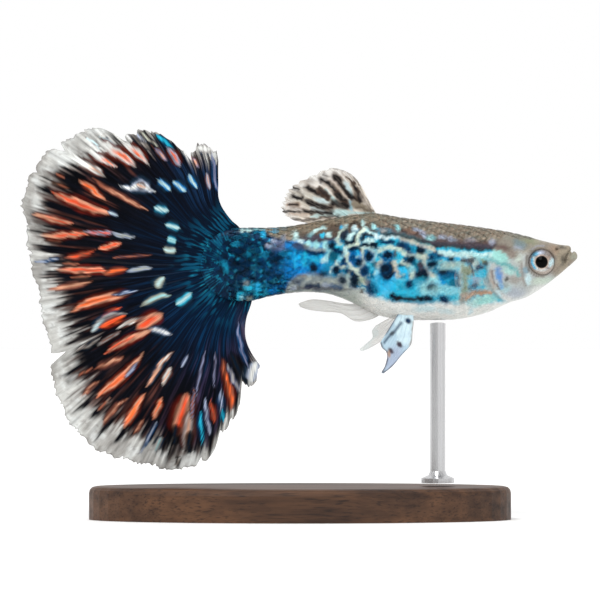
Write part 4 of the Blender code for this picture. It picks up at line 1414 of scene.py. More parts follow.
    def unsteady(self, at: Spread) -> tuple[Array, Array]:
        """Shifts the squares a little, so that marks on them look drawn by hand.

        Args:
            at: The places.

        Returns:
            Shifted columns and rows.
        """
        grain, side, column, row = self.grain.at, at.side, at.column, at.row
        drawn_column = column + grain(column * 0.22 + side, row * 0.22)
        drawn_column = drawn_column + grain(column * 0.55, row * 0.55 + side)
        drawn_column = drawn_column + 0.5 * grain(column * 1.2, row * 1.2 + side)
        drawn_row = row + grain(column * 0.22, row * 0.22 + 90 + side)
        drawn_row = drawn_row + grain(column * 0.55 + 60, row * 0.55 + side)
        return drawn_column, drawn_row + 0.5 * grain(column * 1.2 + 30, row * 1.2 + side)

    def ground(self, points: Array) -> tuple[Array, Array]:
        """The body's colours, and how metallic they gleam.

        Args:
            points: Fish millimetres.

        Returns:
            Linear colours and gleams, one a point.
        """
        at = self.laid_out(points)
        side, column, row = at.side, at.column, at.row
        colour = self.stalk(self.metal(at), at)
        pearl, below = self.belly(at)
        olive, back = self.back(at)
        colour = blend(blend(colour, pearl, below), olive, back)
        drawn = self.unsteady(at)
        colour = self.netted(colour, column, row, side)
        colour = self.layered(colour, *drawn, FLANK_MARKS)
        speck = self.grain.at(column * 0.75 + side, row * 0.75 + 500)
        speck = speck + 0.6 * self.grain.at(column * 1.5, row * 1.5 + side)
        speck = speck * (1 - 0.8 * below)
        colour = colour * (1 + speck[:, None] * np.array((0.30, 0.16, 0.12)))
        gleam = 0.16 * (1 - np.clip(back + below, 0, 1)) + 0.05
        share = self.form.height_share(points)
        face_colour, face = self.face(at, share)
        face_colour = self.layered(face_colour, *drawn, FACE_MARKS)
        face_colour = self.layered(face_colour, column, row, ORBIT_MARKS)
        colour = colour + (face_colour - colour) * face[:, None]
        gleam = gleam + (0.12 - gleam) * face
        # painted shade: a thin dark line along the back and the belly, where the body turns away
        edge_shade = ramp(np.abs(points[:, 1]), 0.42, 0.1) * ramp(column, 262, 300)
        colour = colour * (1 - 0.5 * edge_shade * ramp(share, 0.8, 0.97))[:, None]
        return blend(colour, (0.30, 0.24, 0.20), 0.5 * edge_shade * ramp(share, 0.1, 0.0)), gleam

    def face(self, at: Spread, share: Array) -> tuple[Array, Array]:
        """The head's ground colours.

        Args:
            at: The places.
            share: Their heights between belly and back.

        Returns:
            Colours, and how far each place belongs to the head.
        """
        x = at.points[:, 0]
        column, row, drift, ripple = at.column, at.row, at.drift, at.ripple
        rise = np.clip((share - 0.5) * 2, -1, 1)
        edge = self.form.gill_x - self.form.gill_bulge * (1 - rise * rise)
        face = ramp(x - edge + 0.12 * ripple, -0.22, 0.3)
        colour = plain(Tint.SILVER.value, len(x))
        colour = blend(colour, Tint.PEARL.value, ramp(row + 3 * ripple, 288, 298))
        crown = ramp(row + 3 * ripple, 257, 250)
        top = plain((0.235, 0.225, 0.185), len(x))
        top = blend(top, (0.33, 0.30, 0.25), ramp(drift + 0.4 * ripple, -0.2, 0.5))
        top = blend(top, Tint.OLIVE.value, 0.6 * ramp(ripple, 0.1, 0.6))
        colour = blend(colour, top, crown)
        snout = ramp(column - 0.25 * (row - 262), 545, 553)
        nose = plain((0.31, 0.265, 0.20), len(x))
        nose = blend(nose, (0.19, 0.17, 0.13), 0.8 * ramp(ripple, -0.1, 0.45))
        nose = blend(nose, (0.40, 0.37, 0.31), 0.6 * ramp(drift, 0.0, 0.6))
        colour = blend(colour, nose, snout * ramp(row, 292, 268))
        return colour, face


RING_SPACING = ((0.0, 0.05, 0.20, 0.62, 0.84, 1.0), (-8.935, -8.6, -5.6, 12.0, 22.0, 24.955))


@dataclass
class Skin:
    """One skin from the snout to the tail stalk's round end, in place of the flesh nodes."""

    shop: Workshop
    form: BodyForm
    markings: FlankMarkings
    rings: int = 344
    round_points: int = 232
    socket_radius: float = 1.22
    nostril: tuple[float, float] = (23.05, 1.42)
    mouth: tuple[float, float] = (24.42, 1.08)

    def ring_places(self, share: Array) -> Array:
        """Spaces the rings more closely at the head and the stalk's end."""
        return np.interp(share, *RING_SPACING)

    def mouth_line(self, level: Array, z: Array) -> Array:
        """Where the lips part: further back toward the corners and the chin.

        Args:
            level: Distances from the middle plane.
            z: Heights.

        Returns:
            The parting's x there.
        """
        front, height = self.mouth
        return front - 0.28 * (height - z) - 0.22 * level**2

    def relief(self, points: Array, x_mid: Array) -> Array:
        """How far details stand out of the body's form, or sink into it.

        Args:
            points: Points of the body's form.
            x_mid: Their rings' places.

        Returns:
            Millimetres outward.
        """
        x, y, z = points.T
        level = np.abs(y)
        away = np.hypot(x - EYE_CENTRE[0], z - EYE_CENTRE[2])
        on_side = ramp(level, 0.8, 1.2)
        out = -0.75 * ramp(away, self.socket_radius + 0.14, self.socket_radius - 0.22) * on_side
        out += 0.05 * bell(away, self.socket_radius + 0.28, 0.12) * on_side
        mouth_x = self.mouth_line(level, z)
        inside = ramp(z, 0.02, 0.22) * ramp(x, 23.0, 23.5)
        out -= 0.15 * bell(x, mouth_x, 0.06) * inside
        out += 0.04 * bell(np.abs(x - mouth_x), 0.17, 0.08) * inside
        pit = np.hypot(x - self.nostril[0], z - self.nostril[1])
        out -= 0.2 * bell(pit, 0, 0.11) * ramp(level, 0.5, 0.8)
        out += 0.035 * bell(pit, 0.2, 0.06) * ramp(level, 0.5, 0.8)
        lateral = ramp(level, 0.9, 1.5)
        out -= 0.07 * bell(x_mid, self.form.gill_x - 0.14, 0.07) * lateral
        cheek = 20.05 - 0.75 * (1 - ((z + 0.9) / 1.6) ** 2)
        out -= 0.035 * bell(x, cheek, 0.09) * ramp(z, 0.6, 0.0) * ramp(z, -2.5, -2.0) * lateral
        out += 0.03 * bell(x, cheek - 0.25, 0.16) * ramp(z, 0.6, 0.0) * lateral
        return out

    def build(self, material: Material) -> bpy.types.Object:
        """Builds the skin and paints it.

        Args:
            material: The scaled skin's material.

        Returns:
            The skin.
        """
        bm, shares = moved_grid(self.rings, self.round_points)
        x_mid = self.ring_places(shares[:, 0])
        step = 2 * math.pi / self.round_points
        turn = -math.pi / 2 + 2 * math.pi * shares[:, 1] + step / 2
        points = self.form.surface(x_mid, turn)
        points += self.form.normal(x_mid, turn) * self.relief(points, x_mid)[:, None]
        keep_shares(bm, np.column_stack([x_mid, shares[:, 1]]), ("ring", "girth"))
        for vert, place in zip(bm.verts, points):
            vert.co = place
        bmesh.ops.remove_doubles(bm, verts=bm.verts, dist=0.0005)
        bmesh.ops.holes_fill(bm, edges=bm.edges, sides=0)
        bmesh.ops.recalc_face_normals(bm, faces=bm.faces)
        skin = self.shop.finish("skin", bm, material, "flank_turquoise")
        self.paint(skin.data)
        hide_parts("head", "torso", "tail_stalk")
        return skin

    def paint(self, mesh: Mesh) -> None:
        """Writes the colour fields, with painted shade in the mouth's parting, the nostril and along the
        gill cover's edge, and painted light in a ring round the eye socket.

        Args:
            mesh: The skin's mesh.
        """
        points = self.shop.fish_points(mesh)
        colour, gleam = self.markings.ground(points)
        x, y, z = points.T
        ring = read_field(mesh, "ring")
        shade = np.ones(len(x))
        away = np.hypot(x - EYE_CENTRE[0], z - EYE_CENTRE[2])
        # painted light: a lighter ring round the eye socket, against the shade that falls in it
        shade += 0.25 * bell(away, self.socket_radius + 0.02, 0.14)
        # painted shade in the parting of the lips
        mouth_x = self.mouth_line(y, z)
        shade -= 0.45 * bell(x, mouth_x, 0.07) * ramp(z, 0.02, 0.22) * ramp(x, 23, 23.5)
        # painted shade in the nostril's pit
        pit = np.hypot(x - self.nostril[0], z - self.nostril[1])
        shade -= 0.7 * bell(pit, 0, 0.1)
        # painted shadow along the gill cover's edge, under its step
        lateral = ramp(np.abs(y), 0.9, 1.5)
        shade -= 0.25 * bell(ring, self.form.gill_x - 0.12, 0.1) * lateral
        write_colour(mesh, "paint", colour * np.clip(shade, 0.05, 1.4)[:, None])
        write_field(mesh, "gleam", gleam)


@dataclass
class Scales:
    """Overlapping scales over the skin, each a thin plate whose free edge points back."""

    shop: Workshop
    form: BodyForm
    markings: FlankMarkings
    pitch: float = 0.86
    length: float = 1.42
    round_count: int = 26
    lift: float = 0.045
    thickness: float = 0.022
    cuts: int = 5

    def places(self) -> list[tuple[float, float]]:
        """Centres of the scales: ring place and turn round the body.

        Returns:
            Pairs of x in millimetres and turn in radians.
        """
        found = []
        row, x = 0, -5.7
        while x < 19.0:
            for k in range(self.round_count):
                turn = -90 + 360 * (k + 0.5 * (row % 2)) / self.round_count
                on_top = math.sin(math.radians(turn)) > 0.75
                if x < self.form.gill_x - 0.62 or on_top:
                    found.append((x, math.radians(turn)))
            row += 1
            x += self.pitch
        for extra in (19.2, 20.05, 20.9):
            for k in range(-3, 4):
                turn = 90 + 360 * (k + 0.5 * (row % 2)) / self.round_count
                if abs(k) < 3:
                    found.append((extra, math.radians(turn)))
            row += 1
        return found

    def build(self, material: Material) -> bpy.types.Object:
        """Builds all the scales as one mesh.

        Args:
            material: The scaled skin's material.

        Returns:
            The scales.
        """
        bm, centres, locals_ = self.sheets()
        x_mid, turn, height, rim = self.shape(centres, locals_)
        points = self.form.surface(x_mid, turn)
        points += self.form.normal(x_mid, turn) * height[:, None]
        keep_shares(bm, np.column_stack([rim, centres[:, 2]]), ("rim", "chance"))
        cell = bm.verts.layers.float_vector.new("cell")
        for vert, place, local, centre in zip(bm.verts, points, locals_, centres):
            vert.co = place
            vert[cell] = (local[0], local[1], centre[3])
        normals = self.form.normal(x_mid, turn)
        top = list(bm.verts)
        made = bmesh.ops.extrude_face_region(bm, geom=list(bm.faces))["geom"]
        below = [g for g in made if isinstance(g, bmesh.types.BMVert)]
        lookup = {tuple(v.co): n for v, n in zip(top, normals)}
        for vert in below:
            vert.co -= Vector(lookup[tuple(vert.co)]) * self.thickness
        bmesh.ops.recalc_face_normals(bm, faces=bm.faces)
        self.unwrap(bm, cell, set(below))
        scales = self.shop.finish("scales", bm, material, "flank_turquoise")
        self.paint(scales.data)
        return scales

    def sheets(self) -> tuple[BMesh, Array, Array]:
        """Small flat grids, one a scale, with each point's scale and place in it.

        Returns:
            The mesh, what each point's scale is, and where the point lies in it.
        """
        bm = bmesh.new()
        rng = np.random.default_rng(5)
        centres, locals_ = [], []
        for number, (x, turn) in enumerate(self.places()):
            made = bmesh.ops.create_grid(bm, x_segments=self.cuts, y_segments=self.cuts, size=1.0)
            chance = rng.random()
            for vert in made["verts"]:
                locals_.append((vert.co.x, vert.co.y))
                centres.append((x, turn, chance, number))
        return bm, np.array(centres), np.array(locals_)

    def shape(self, centres: Array, locals_: Array) -> tuple[Array, Array, Array, Array]:
        """Bends each flat grid to a scale.

        Args:
            centres: Ring place, turn, chance and number of each point's scale.
            locals_: Each point's place in its scale, from -1 to 1; the first is 1 at the root.

        Returns:
            Ring place, turn, height over the skin, and nearness to the free edge.
        """
        along, across = locals_.T
        rear = np.clip(-along, 0, 1)
        narrow = np.sqrt(np.clip(1 - 0.72 * rear**2.4, 0.05, 1)) * (1 - 0.12 * np.clip(along, 0, 1))
        bow = 0.5 * self.length * along + 0.30 * self.length * across**2 * ramp(-along, -0.2, 1.0)
        x_mid = centres[:, 0] + bow
        turn = centres[:, 1] + across * narrow * 1.04 * math.pi / self.round_count
        height = self.lift * ramp(-along, -1.0, 0.9) - 0.01
        height += 0.02 * (1 - across**2) * ramp(-along, -0.6, 0.3)
        height *= 0.35 + 0.65 * ramp(x_mid, -8.9, -6.5)
        sides = ramp(np.abs(across), 0.62, 1.0) * ramp(-along, -0.3, 0.3)
        edge = np.maximum(ramp(-along, 0.35, 1.0), sides)
        return np.clip(x_mid, -8.92, 24.0), turn, height, edge

    def unwrap(self, bm: BMesh, cell: object, below: set) -> None:
        """Lays every scale in a square of its own, with its underside beside it.

        Args:
            bm: The mesh.
            cell: Layer with the place in the scale and its number.
            below: Points of the undersides.
        """
        uv = bm.loops.layers.uv.new("OFBake")
        side = math.ceil(math.sqrt(len(self.places())))
        for face in bm.faces:
            under = [v in below for v in face.verts]
            for loop in face.loops:
                along, across, number = loop.vert[cell]
                column, row = int(number + 0.5) % side, int(number + 0.5) // side
                share = 0.78 + 0.16 * (along + 1) / 2 if all(under) else 0.04 + 0.66 * (along + 1) / 2
                loop[uv].uv = ((column + share) / side, (row + 0.06 + 0.88 * (across + 1) / 2) / side)

    def paint(self, mesh: Mesh) -> None:
        """Stains each scale like the skin below, clearer on the flank, darker round its rim.

        Args:
            mesh: The coat's mesh.
        """
        points = self.shop.fish_points(mesh)
        colour, gleam = self.markings.ground(points)
        rim, chance = read_field(mesh, "rim"), read_field(mesh, "chance")
        x, _, z = points.T
        back = ramp(z - SCALED_BACK(x), -0.1, 0.3)
        stalk = ramp(x, 0.4, -2.2)
        belly = ramp(self.form.height_share(points), 0.22, 0.1)
        alpha = 0.07 + 0.20 * back + 0.26 * stalk - 0.03 * belly
        alpha = alpha + rim * (0.05 + 0.22 * back + 0.34 * stalk)
        shade = 1.12 - rim * (0.12 + 0.30 * back + 0.45 * stalk)
        glint = stalk * ramp(chance, 0.45, 0.9) * (1 - rim)
        colour = blend(colour, Tint.TEAL.value, 0.55 * glint)
        colour = blend(colour, Tint.SKY.value, 0.35 * glint * ramp(chance, 0.85, 1.0))
        shade *= 0.88 + 0.24 * chance
        write_colour(mesh, "paint", colour * shade[:, None], np.clip(alpha, 0.02, 0.9))
        write_field(mesh, "gleam", np.clip(gleam + 0.15 * glint, 0, 1))


# Fins

Place = Callable[[Array, Array], tuple[Array, Array, Array]]


@dataclass
class RayedFin:
    """A thin membrane stiffened by rays that branch toward its edge."""

    shop: Workshop
    name: str
    node: str
    slot: str
    rays: int
    columns: int
    rows: int
    membrane: float = 0.05
    ray: float = 0.2
    forks: tuple[float, ...] = (0.36, 0.66)
    turned: Matrix = field(default_factory=lambda: Matrix.Identity(4))

    def place(self, across: Array, along: Array) -> tuple[Array, Array, Array]:
        """The middle surface: x and z in the fin's plane, and how far it bows off it."""
        raise NotImplementedError

    def paint(self, across: Array, along: Array, points: Array) -> tuple[Array, Array]:
        """Colour, and how solid it is, of each point."""
        raise NotImplementedError

    def ray_height(self, across: Array, along: Array) -> Array:
        """How strongly each point stands on a ray or one of its branches, 0 to 1.

        Args:
            across: Share across the fin, 0 to 1.
            along: Share from root to margin.

        Returns:
            One height a point.
        """
        lane = (across * self.rays) % 1.0 - 0.5
        height = np.zeros(len(across))
        offsets = [(0.0, 1.0)]
        width = 0.10
        for depth, fork in enumerate(self.forks):
            spread = (0.22, 0.11)[min(depth, 1)] * ramp(along, fork - 0.05, fork + 0.3)
            offsets = [(o + s * spread, w) for o, w in offsets for s in (-1, 1)]
        for offset, _ in offsets:
            height = np.maximum(height, np.exp(-(((lane - offset) / width) ** 2)))
        return height

    def build(self, material: Material) -> bpy.types.Object:
        """Builds the fin as a closed sheet and paints it.

        Args:
            material: The fin's material.

        Returns:
            The fin.
        """
        bm, shares = moved_grid(self.columns, self.rows)
        across, along = shares.T
        x, z, bow = self.place(across, along)
        height = self.ray_height(across, along)
        taper = 1 - 0.65 * along
        half = 0.5 * (self.membrane + (self.ray - self.membrane) * height * taper)
        half *= 1 - 0.55 * ramp(along, 0.9, 1.0)
        keep_shares(bm, shares, ("across", "along"))
        for vert, place in zip(bm.verts, np.column_stack([x, bow, z])):
            vert.co = place
        made = bmesh.ops.extrude_face_region(bm, geom=list(bm.faces))["geom"]
        far = {v for v in made if isinstance(v, bmesh.types.BMVert)}
        front = [v for v in bm.verts if v not in far]
        thick = {tuple(vert.co): value for vert, value in zip(front, half)}
        for vert in bm.verts:
            value = thick[tuple(vert.co)]
            vert.co.y += value if vert in far else -value
        bmesh.ops.recalc_face_normals(bm, faces=bm.faces)
        bmesh.ops.transform(bm, matrix=self.turned, verts=bm.verts)
        fin = self.shop.finish(self.name, bm, material, self.slot)
        mesh = fin.data
        across, along = read_field(mesh, "across"), read_field(mesh, "along")
        points = np.column_stack(self.place(across, along))
        colour, alpha = self.paint(across, along, points)
        write_colour(mesh, "paint", colour, alpha)
        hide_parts(self.node)
        return fin


@dataclass(frozen=True)
class Flame:
    """A streak of the tail on the drawing sheet: it swells to its width and tapers at both ends."""

    core: Tint
    rim: Tint
    width: float
    path: tuple[tuple[float, float], ...]
    heart: tuple[float, float] = (0.0, 1.0)
    blunt: float = 2.2

    def inside(self, column: Array, row: Array) -> tuple[Array, Array]:
        """How deep each place lies in the streak, 1 at its middle line, and how far along it.

        Args:
            column: Columns of the places on the drawing sheet.
            row: Rows of the places.

        Returns:
            Depth and share of the length, for each place.
        """
        lengths = [math.dist(a, b) for a, b in zip(self.path, self.path[1:])]
        away = np.full(len(column), 1e3)
        along = np.zeros(len(column))
        before = 0.0
        for (x0, y0), (x1, y1), length in zip(self.path, self.path[1:], lengths):
            share = ((column - x0) * (x1 - x0) + (row - y0) * (y1 - y0)) / length**2
            share = np.clip(share, 0, 1)
            here = np.hypot(column - x0 - share * (x1 - x0), row - y0 - share * (y1 - y0))
            nearer = here < away
            away = np.where(nearer, here, away)
            along = np.where(nearer, (before + share * length) / sum(lengths), along)
            before += length
        swell = (1 - np.abs(2 * along - 1) ** self.blunt) ** 0.8
        return 1 - away / (0.40 * self.width * swell + 0.4), along


FLAMES: tuple[Flame, ...] = (
    # upper fan
    Flame(T.SMOKE, T.DUST, 9, ((128, 133), (140, 140), (150, 150)), (0, 0.8)),
    Flame(T.LILAC, T.SMOKE, 6, ((134, 134), (142, 138), (147, 143))),
    Flame(T.SAND, T.DUST, 4, ((140, 131), (150, 140), (158, 147))),
    Flame(T.CYAN, T.TEAL, 7, ((155, 134), (165, 141), (176, 151))),
    Flame(T.PEACH, T.PEARL, 9, ((66, 153), (80, 161), (95, 169), (106, 178)), (0.6, 0.95), 1.8),
    Flame(T.FROST, T.SMOKE, 4, ((84, 137), (94, 143), (101, 150)), blunt=1.8),
    Flame(T.FROST, T.SMOKE, 4, ((99, 137), (110, 141), (119, 148)), blunt=1.8),
    Flame(T.ORANGE, T.PEARL, 8, ((86, 148), (98, 157), (108, 162), (118, 168)), (0.55, 0.85), 1.8),
    Flame(T.ORANGE, T.PEARL, 11, ((95, 139), (108, 147), (122, 156), (136, 168)), (0.45, 0.85)),
    Flame(T.ORANGE, T.PEARL, 10, ((120, 140), (131, 148), (141, 156), (149, 165)), (0.4, 0.8)),
    Flame(T.PEACH, T.MAUVE, 5, ((155, 147), (160, 153), (167, 161)), (0.2, 0.8)),
    Flame(T.ORANGE, T.LILAC, 9, ((167, 147), (174, 155), (180, 167)), (0.2, 0.75)),
    Flame(T.PEACH, T.MAUVE, 4, ((188, 154), (194, 160), (199, 169)), (0.2, 0.8)),
    Flame(T.PEARL, T.SMOKE, 12, ((197, 148), (205, 149), (214, 148))),
    Flame(T.MAUVE, T.DEEP, 7, ((212, 152), (214, 165), (215, 180), (221, 198))),
    Flame(T.PEACH, T.LILAC, 4, ((206, 172), (208, 180), (210, 190)), (0.2, 0.7)),
    Flame(T.ICE, T.AZURE, 8.1, ((188.6, 173.9), (192.2, 181.1), (197.2, 189)), blunt=3),
    Flame(T.ICE, T.AZURE, 8.1, ((157.4, 179.1), (163.2, 184.2), (170.4, 190.7)), blunt=4),
    Flame(T.ICE, T.AZURE, 8.5, ((173.3, 181.1), (179.1, 186.2), (185.6, 192.7)), blunt=4),
    Flame(T.PEARL, T.LILAC, 6, ((120, 187), (131, 189), (142, 190), (156, 191)), blunt=4),
    Flame(T.PEARL, T.LILAC, 13, ((131, 190), (140, 184), (150, 190)), blunt=4),
    Flame(T.PEACH, T.PEARL, 5, ((137, 184), (145, 187))),
    Flame(T.ICE, T.TEAL, 10.4, ((153.8, 207.7), (161, 209.5), (168.2, 211.3)), blunt=5),
    Flame(T.ICE, T.TEAL, 9.5, ((165.8, 224.7), (173, 226.5), (180.2, 228.3)), blunt=5),
    Flame(T.PALE_CYAN, T.TEAL, 9.5, ((166.8, 239.4), (171.1, 240.1), (176.1, 241.5)), blunt=5),
    Flame(T.ICE, T.SAND, 10, ((163.3, 249.3), (169.1, 250), (175.6, 250.7)), blunt=5),
    Flame(T.LILAC, T.SMOKE, 5, ((86, 206), (97, 211), (106, 213)), (0.2, 0.9)),
    Flame(
        T.RED, T.PEACH, 12,
        ((50, 191), (64, 198), (78, 203), (90, 208), (104, 212), (117, 214)), (0, 0.72), 1.5,
    ),
    Flame(T.FROST, T.LILAC, 4, ((107, 211), (113, 213), (119, 216)), (0.2, 0.9)),
    Flame(T.ORANGE, T.PEACH, 6.5, ((78, 180), (90, 188), (106, 200)), (0.15, 0.85)),
    Flame(T.PEACH, T.RUST, 4.6, ((92, 177), (103, 187), (115, 193), (129, 201), (149, 211)), (0.35, 0.95)),
    Flame(T.RUST, T.UMBER, 4, ((48, 180), (58, 184), (68, 188))),
    Flame(T.RUST, T.DUST, 3, ((56, 174), (64, 178))),
    # left fan
    Flame(T.RED, T.PEACH, 6.5, ((30, 213), (45, 217), (58, 221), (74, 223)), (0.3, 0.9)),
    Flame(T.RUST, T.UMBER, 3.5, ((44, 240), (55, 240.5), (64, 241))),
    Flame(T.RED, T.PEACH, 7.5, ((38, 235), (55, 236), (70, 234.5), (94, 233)), (0.3, 0.9)),
    Flame(T.RED, T.LILAC, 5.5, ((84, 231), (97, 232.5), (103, 233.5), (114, 233)), (0.2, 0.9)),
    Flame(T.SAND, T.LILAC, 5.5, ((111, 233), (122, 236), (136, 237)), (0.2, 0.9)),
    Flame(T.RED, T.PEACH, 7, ((97, 249), (108, 247), (122, 243)), (0.1, 0.9)),
    Flame(T.RED, T.RUST, 6.5, ((63, 257), (78, 256), (87, 253), (95, 249)), (0.2, 0.9)),
    Flame(T.LILAC, T.DEEP, 3.6, ((30, 261.5), (45, 260.5), (60, 258))),
    Flame(T.RUST, T.PLUM, 3, ((112, 258), (130, 256.5), (152, 254))),
    Flame(T.RED, T.PEACH, 8, ((55, 270), (75, 270), (95, 270), (113, 272)), (0.2, 0.9)),
    Flame(T.ORANGE, T.RUST, 6, ((103, 274), (115, 271), (128, 269)), (0.2, 0.9)),
    Flame(T.SAND, T.LILAC, 6, ((126, 272), (140, 269), (153, 267)), (0.2, 0.9)),
    Flame(T.RUST, T.UMBER, 4, ((62, 264), (72, 264), (80, 263))),
    Flame(T.PEACH, T.RUST, 6, ((46, 291), (62, 287), (80, 284), (94, 281)), (0.2, 0.9)),
    Flame(T.RUST, T.UMBER, 4, ((70, 278), (84, 277), (92, 275))),
    # lower left fan
    Flame(
        T.ORANGE, T.PEACH, 11.5,
        ((70, 313), (82, 305), (95, 301), (110, 297), (136, 291)), (0.12, 0.72), 1.7,
    ),
    Flame(T.LILAC, T.DEEP, 4, ((112, 295), (124, 293), (138, 290))),
    Flame(T.ICE, T.SAND, 10.4, ((157.1, 289.7), (158.6, 283.9), (164.3, 277.4)), (0.2, 1), 3),
    Flame(
        T.PALE_CYAN, T.SAND, 7.6,
        ((140.9, 306.3), (151.8, 299.8), (160.4, 296.2), (171.9, 294.8)), (0.25, 0.95), 3,
    ),
    Flame(T.ICE, T.CYAN, 11.4, ((176.1, 304.8), (184, 299.7), (191.9, 292.5)), blunt=4),
    Flame(T.RED, T.RUST, 4.6, ((100, 320), (110, 312), (121, 307)), (0.1, 0.9)),
    Flame(T.FROST, T.SMOKE, 10, ((90, 332), (100, 323), (112, 317), (126, 314)), (0, 0.6), 3),
    Flame(T.RED, T.ORANGE, 7.5, ((99, 328), (112, 322), (126, 316)), (0.1, 0.9)),
    Flame(T.PEACH, T.PEARL, 5, ((116, 329), (128, 323), (142, 318), (150, 317)), (0.3, 0.9)),
    Flame(T.RED, T.PEACH, 15, ((137, 329), (147, 323), (162, 313)), (0.1, 0.8), 4),
    Flame(T.PEARL, T.LILAC, 7, ((148, 328), (160, 331), (172, 335)), (0.2, 0.9), 3),
    Flame(
        T.RED, T.PEACH, 9,
        ((104, 354), (115, 347), (126, 341), (140, 335), (154, 328)), (0.05, 0.6), 1.7,
    ),
    Flame(T.RUST, T.SMOKE, 5, ((96, 346), (108, 338), (121, 331)), (0.2, 0.9)),
    Flame(T.SMOKE, T.DUST, 5, ((74, 352), (88, 346), (100, 338))),
    Flame(T.PEACH, T.RUST, 7, ((94, 370), (108, 363), (125, 356)), (0.2, 0.9)),
    Flame(
        T.ORANGE, T.PEACH, 9.5,
        ((96, 398), (108, 387), (120, 378), (132, 367), (144, 352)), (0.08, 0.6), 1.8,
    ),
    Flame(T.LILAC, T.MAUVE, 4, ((124, 378), (132, 370), (137, 362))),
    Flame(T.PEACH, T.RUST, 4, ((80, 397), (90, 388), (99, 381)), (0.2, 0.9)),
    Flame(T.RUST, T.UMBER, 3.4, ((78, 376), (86, 371), (92, 368))),
    Flame(T.PEARL, T.PEACH, 6, ((146, 388), (155, 373), (163, 361), (173, 351)), (0.5, 1)),
    Flame(T.PEACH, T.PEARL, 6, ((163, 386), (167, 376), (172, 367)), (0.1, 0.8)),
    Flame(T.LILAC, T.MAUVE, 3.6, ((182, 367), (185, 361), (188, 354))),
    # lower fan
    Flame(T.PEACH, T.RUST, 5.5, ((101, 427), (110, 413), (118, 405), (127, 398)), (0.1, 0.9)),
    Flame(T.RUST, T.DUST, 4, ((96, 412), (104, 404), (110, 398))),
    Flame(T.ORANGE, T.PEACH, 8, ((124, 428), (133, 412), (140, 400), (146, 393)), (0.1, 0.85)),
    Flame(T.PEACH, T.RUST, 4.5, ((134, 434), (140, 426), (144, 418)), (0.2, 0.9)),
    Flame(T.ORANGE, T.PEACH, 6, ((153, 420), (158, 407), (163, 396)), (0.1, 0.85)),
    Flame(T.LILAC, T.DEEP, 4.6, ((141, 454), (149, 438), (157, 420))),
    Flame(T.PALE_CYAN, T.SMOKE, 7.6, ((154.6, 453.5), (158.2, 444.1), (163.2, 435.5))),
    Flame(T.RED, T.PEACH, 20, ((176, 438), (181, 418), (188, 392)), (0, 0.9), 3),
    Flame(T.PEACH, T.SMOKE, 12, ((186, 452), (188, 432), (191, 410)), (0.2, 0.8), 3),
    Flame(T.RUST, T.MAUVE, 4, ((192, 420), (193, 404), (194, 388))),
    Flame(T.INK, T.SOOT, 7, ((175, 446), (175, 436), (177, 424)), blunt=4),
    Flame(T.INK, T.SOOT, 6, ((189, 456), (189, 444), (190, 430)), blunt=4),
    Flame(T.SOOT, T.DUST, 5, ((176, 468), (176.5, 462), (177, 455))),
    Flame(T.CYAN, T.DEEP, 6, ((203, 446), (201, 430), (200, 410)), blunt=3),
    Flame(T.LILAC, T.MAUVE, 5, ((211, 438), (207, 420), (205, 398))),
    Flame(T.RED, T.RUST, 5.5, ((215, 424), (213, 412), (211, 400)), (0.1, 0.9)),
    Flame(T.LILAC, T.DEEP, 7, ((224, 424), (222, 408), (221, 390))),
    Flame(T.CYAN, T.TEAL, 5, ((224, 422), (223, 414), (222, 408))),
    Flame(T.ORANGE, T.RUST, 8.5, ((231, 412), (231, 398), (228, 380), (222, 358)), (0.08, 0.75), 2.4),
    Flame(T.SMOKE, T.MAUVE, 6, ((240, 392), (234, 380), (227, 364))),
    Flame(T.INK, T.SOOT, 11, ((249, 388), (241, 374), (231, 352)), blunt=3),
    Flame(T.PEARL, T.LILAC, 17, ((250, 382), (253, 373), (256, 362)), (0, 1), 4),
    Flame(T.MAUVE, T.DEEP, 7, ((250, 368), (243, 354), (238, 334), (238, 322))),
    Flame(T.MAUVE, T.PLUM, 4, ((196, 397), (200, 374), (206, 350))),
    Flame(T.MAUVE, T.PLUM, 4, ((214, 390), (214, 372), (216, 352))),
)


@dataclass(frozen=True)
class FanSpread:
    """Places of the fan laid out for painting: their angle and reach, and the noise there."""

    x: Array
    z: Array
    degrees: Array
    reach: Array
    hair: Array
    thread: Array
    wisp: Array
    cloud: Array
    ray: Array


CLEAR_WIDTH = Curve([  # width of the tail's clear margin, by direction
    (-104, 1.2), (-97, 1.0), (-90, 1.1), (-84, 1.1), (-77, 1.1), (-70, 1.7), (-60, 2.2), (-50, 2.2),
    (-38, 2.2), (-27, 2.5), (-18, 2.0), (-6, 1.6), (4, 1.4), (12, 1.5), (20, 1.7), (28, 2.0),
    (36, 2.5), (43, 1.9), (50, 1.1), (56, 0.6), (66, 0.3), (71, 0.8), (76, 1.3), (80, 1.4),
])


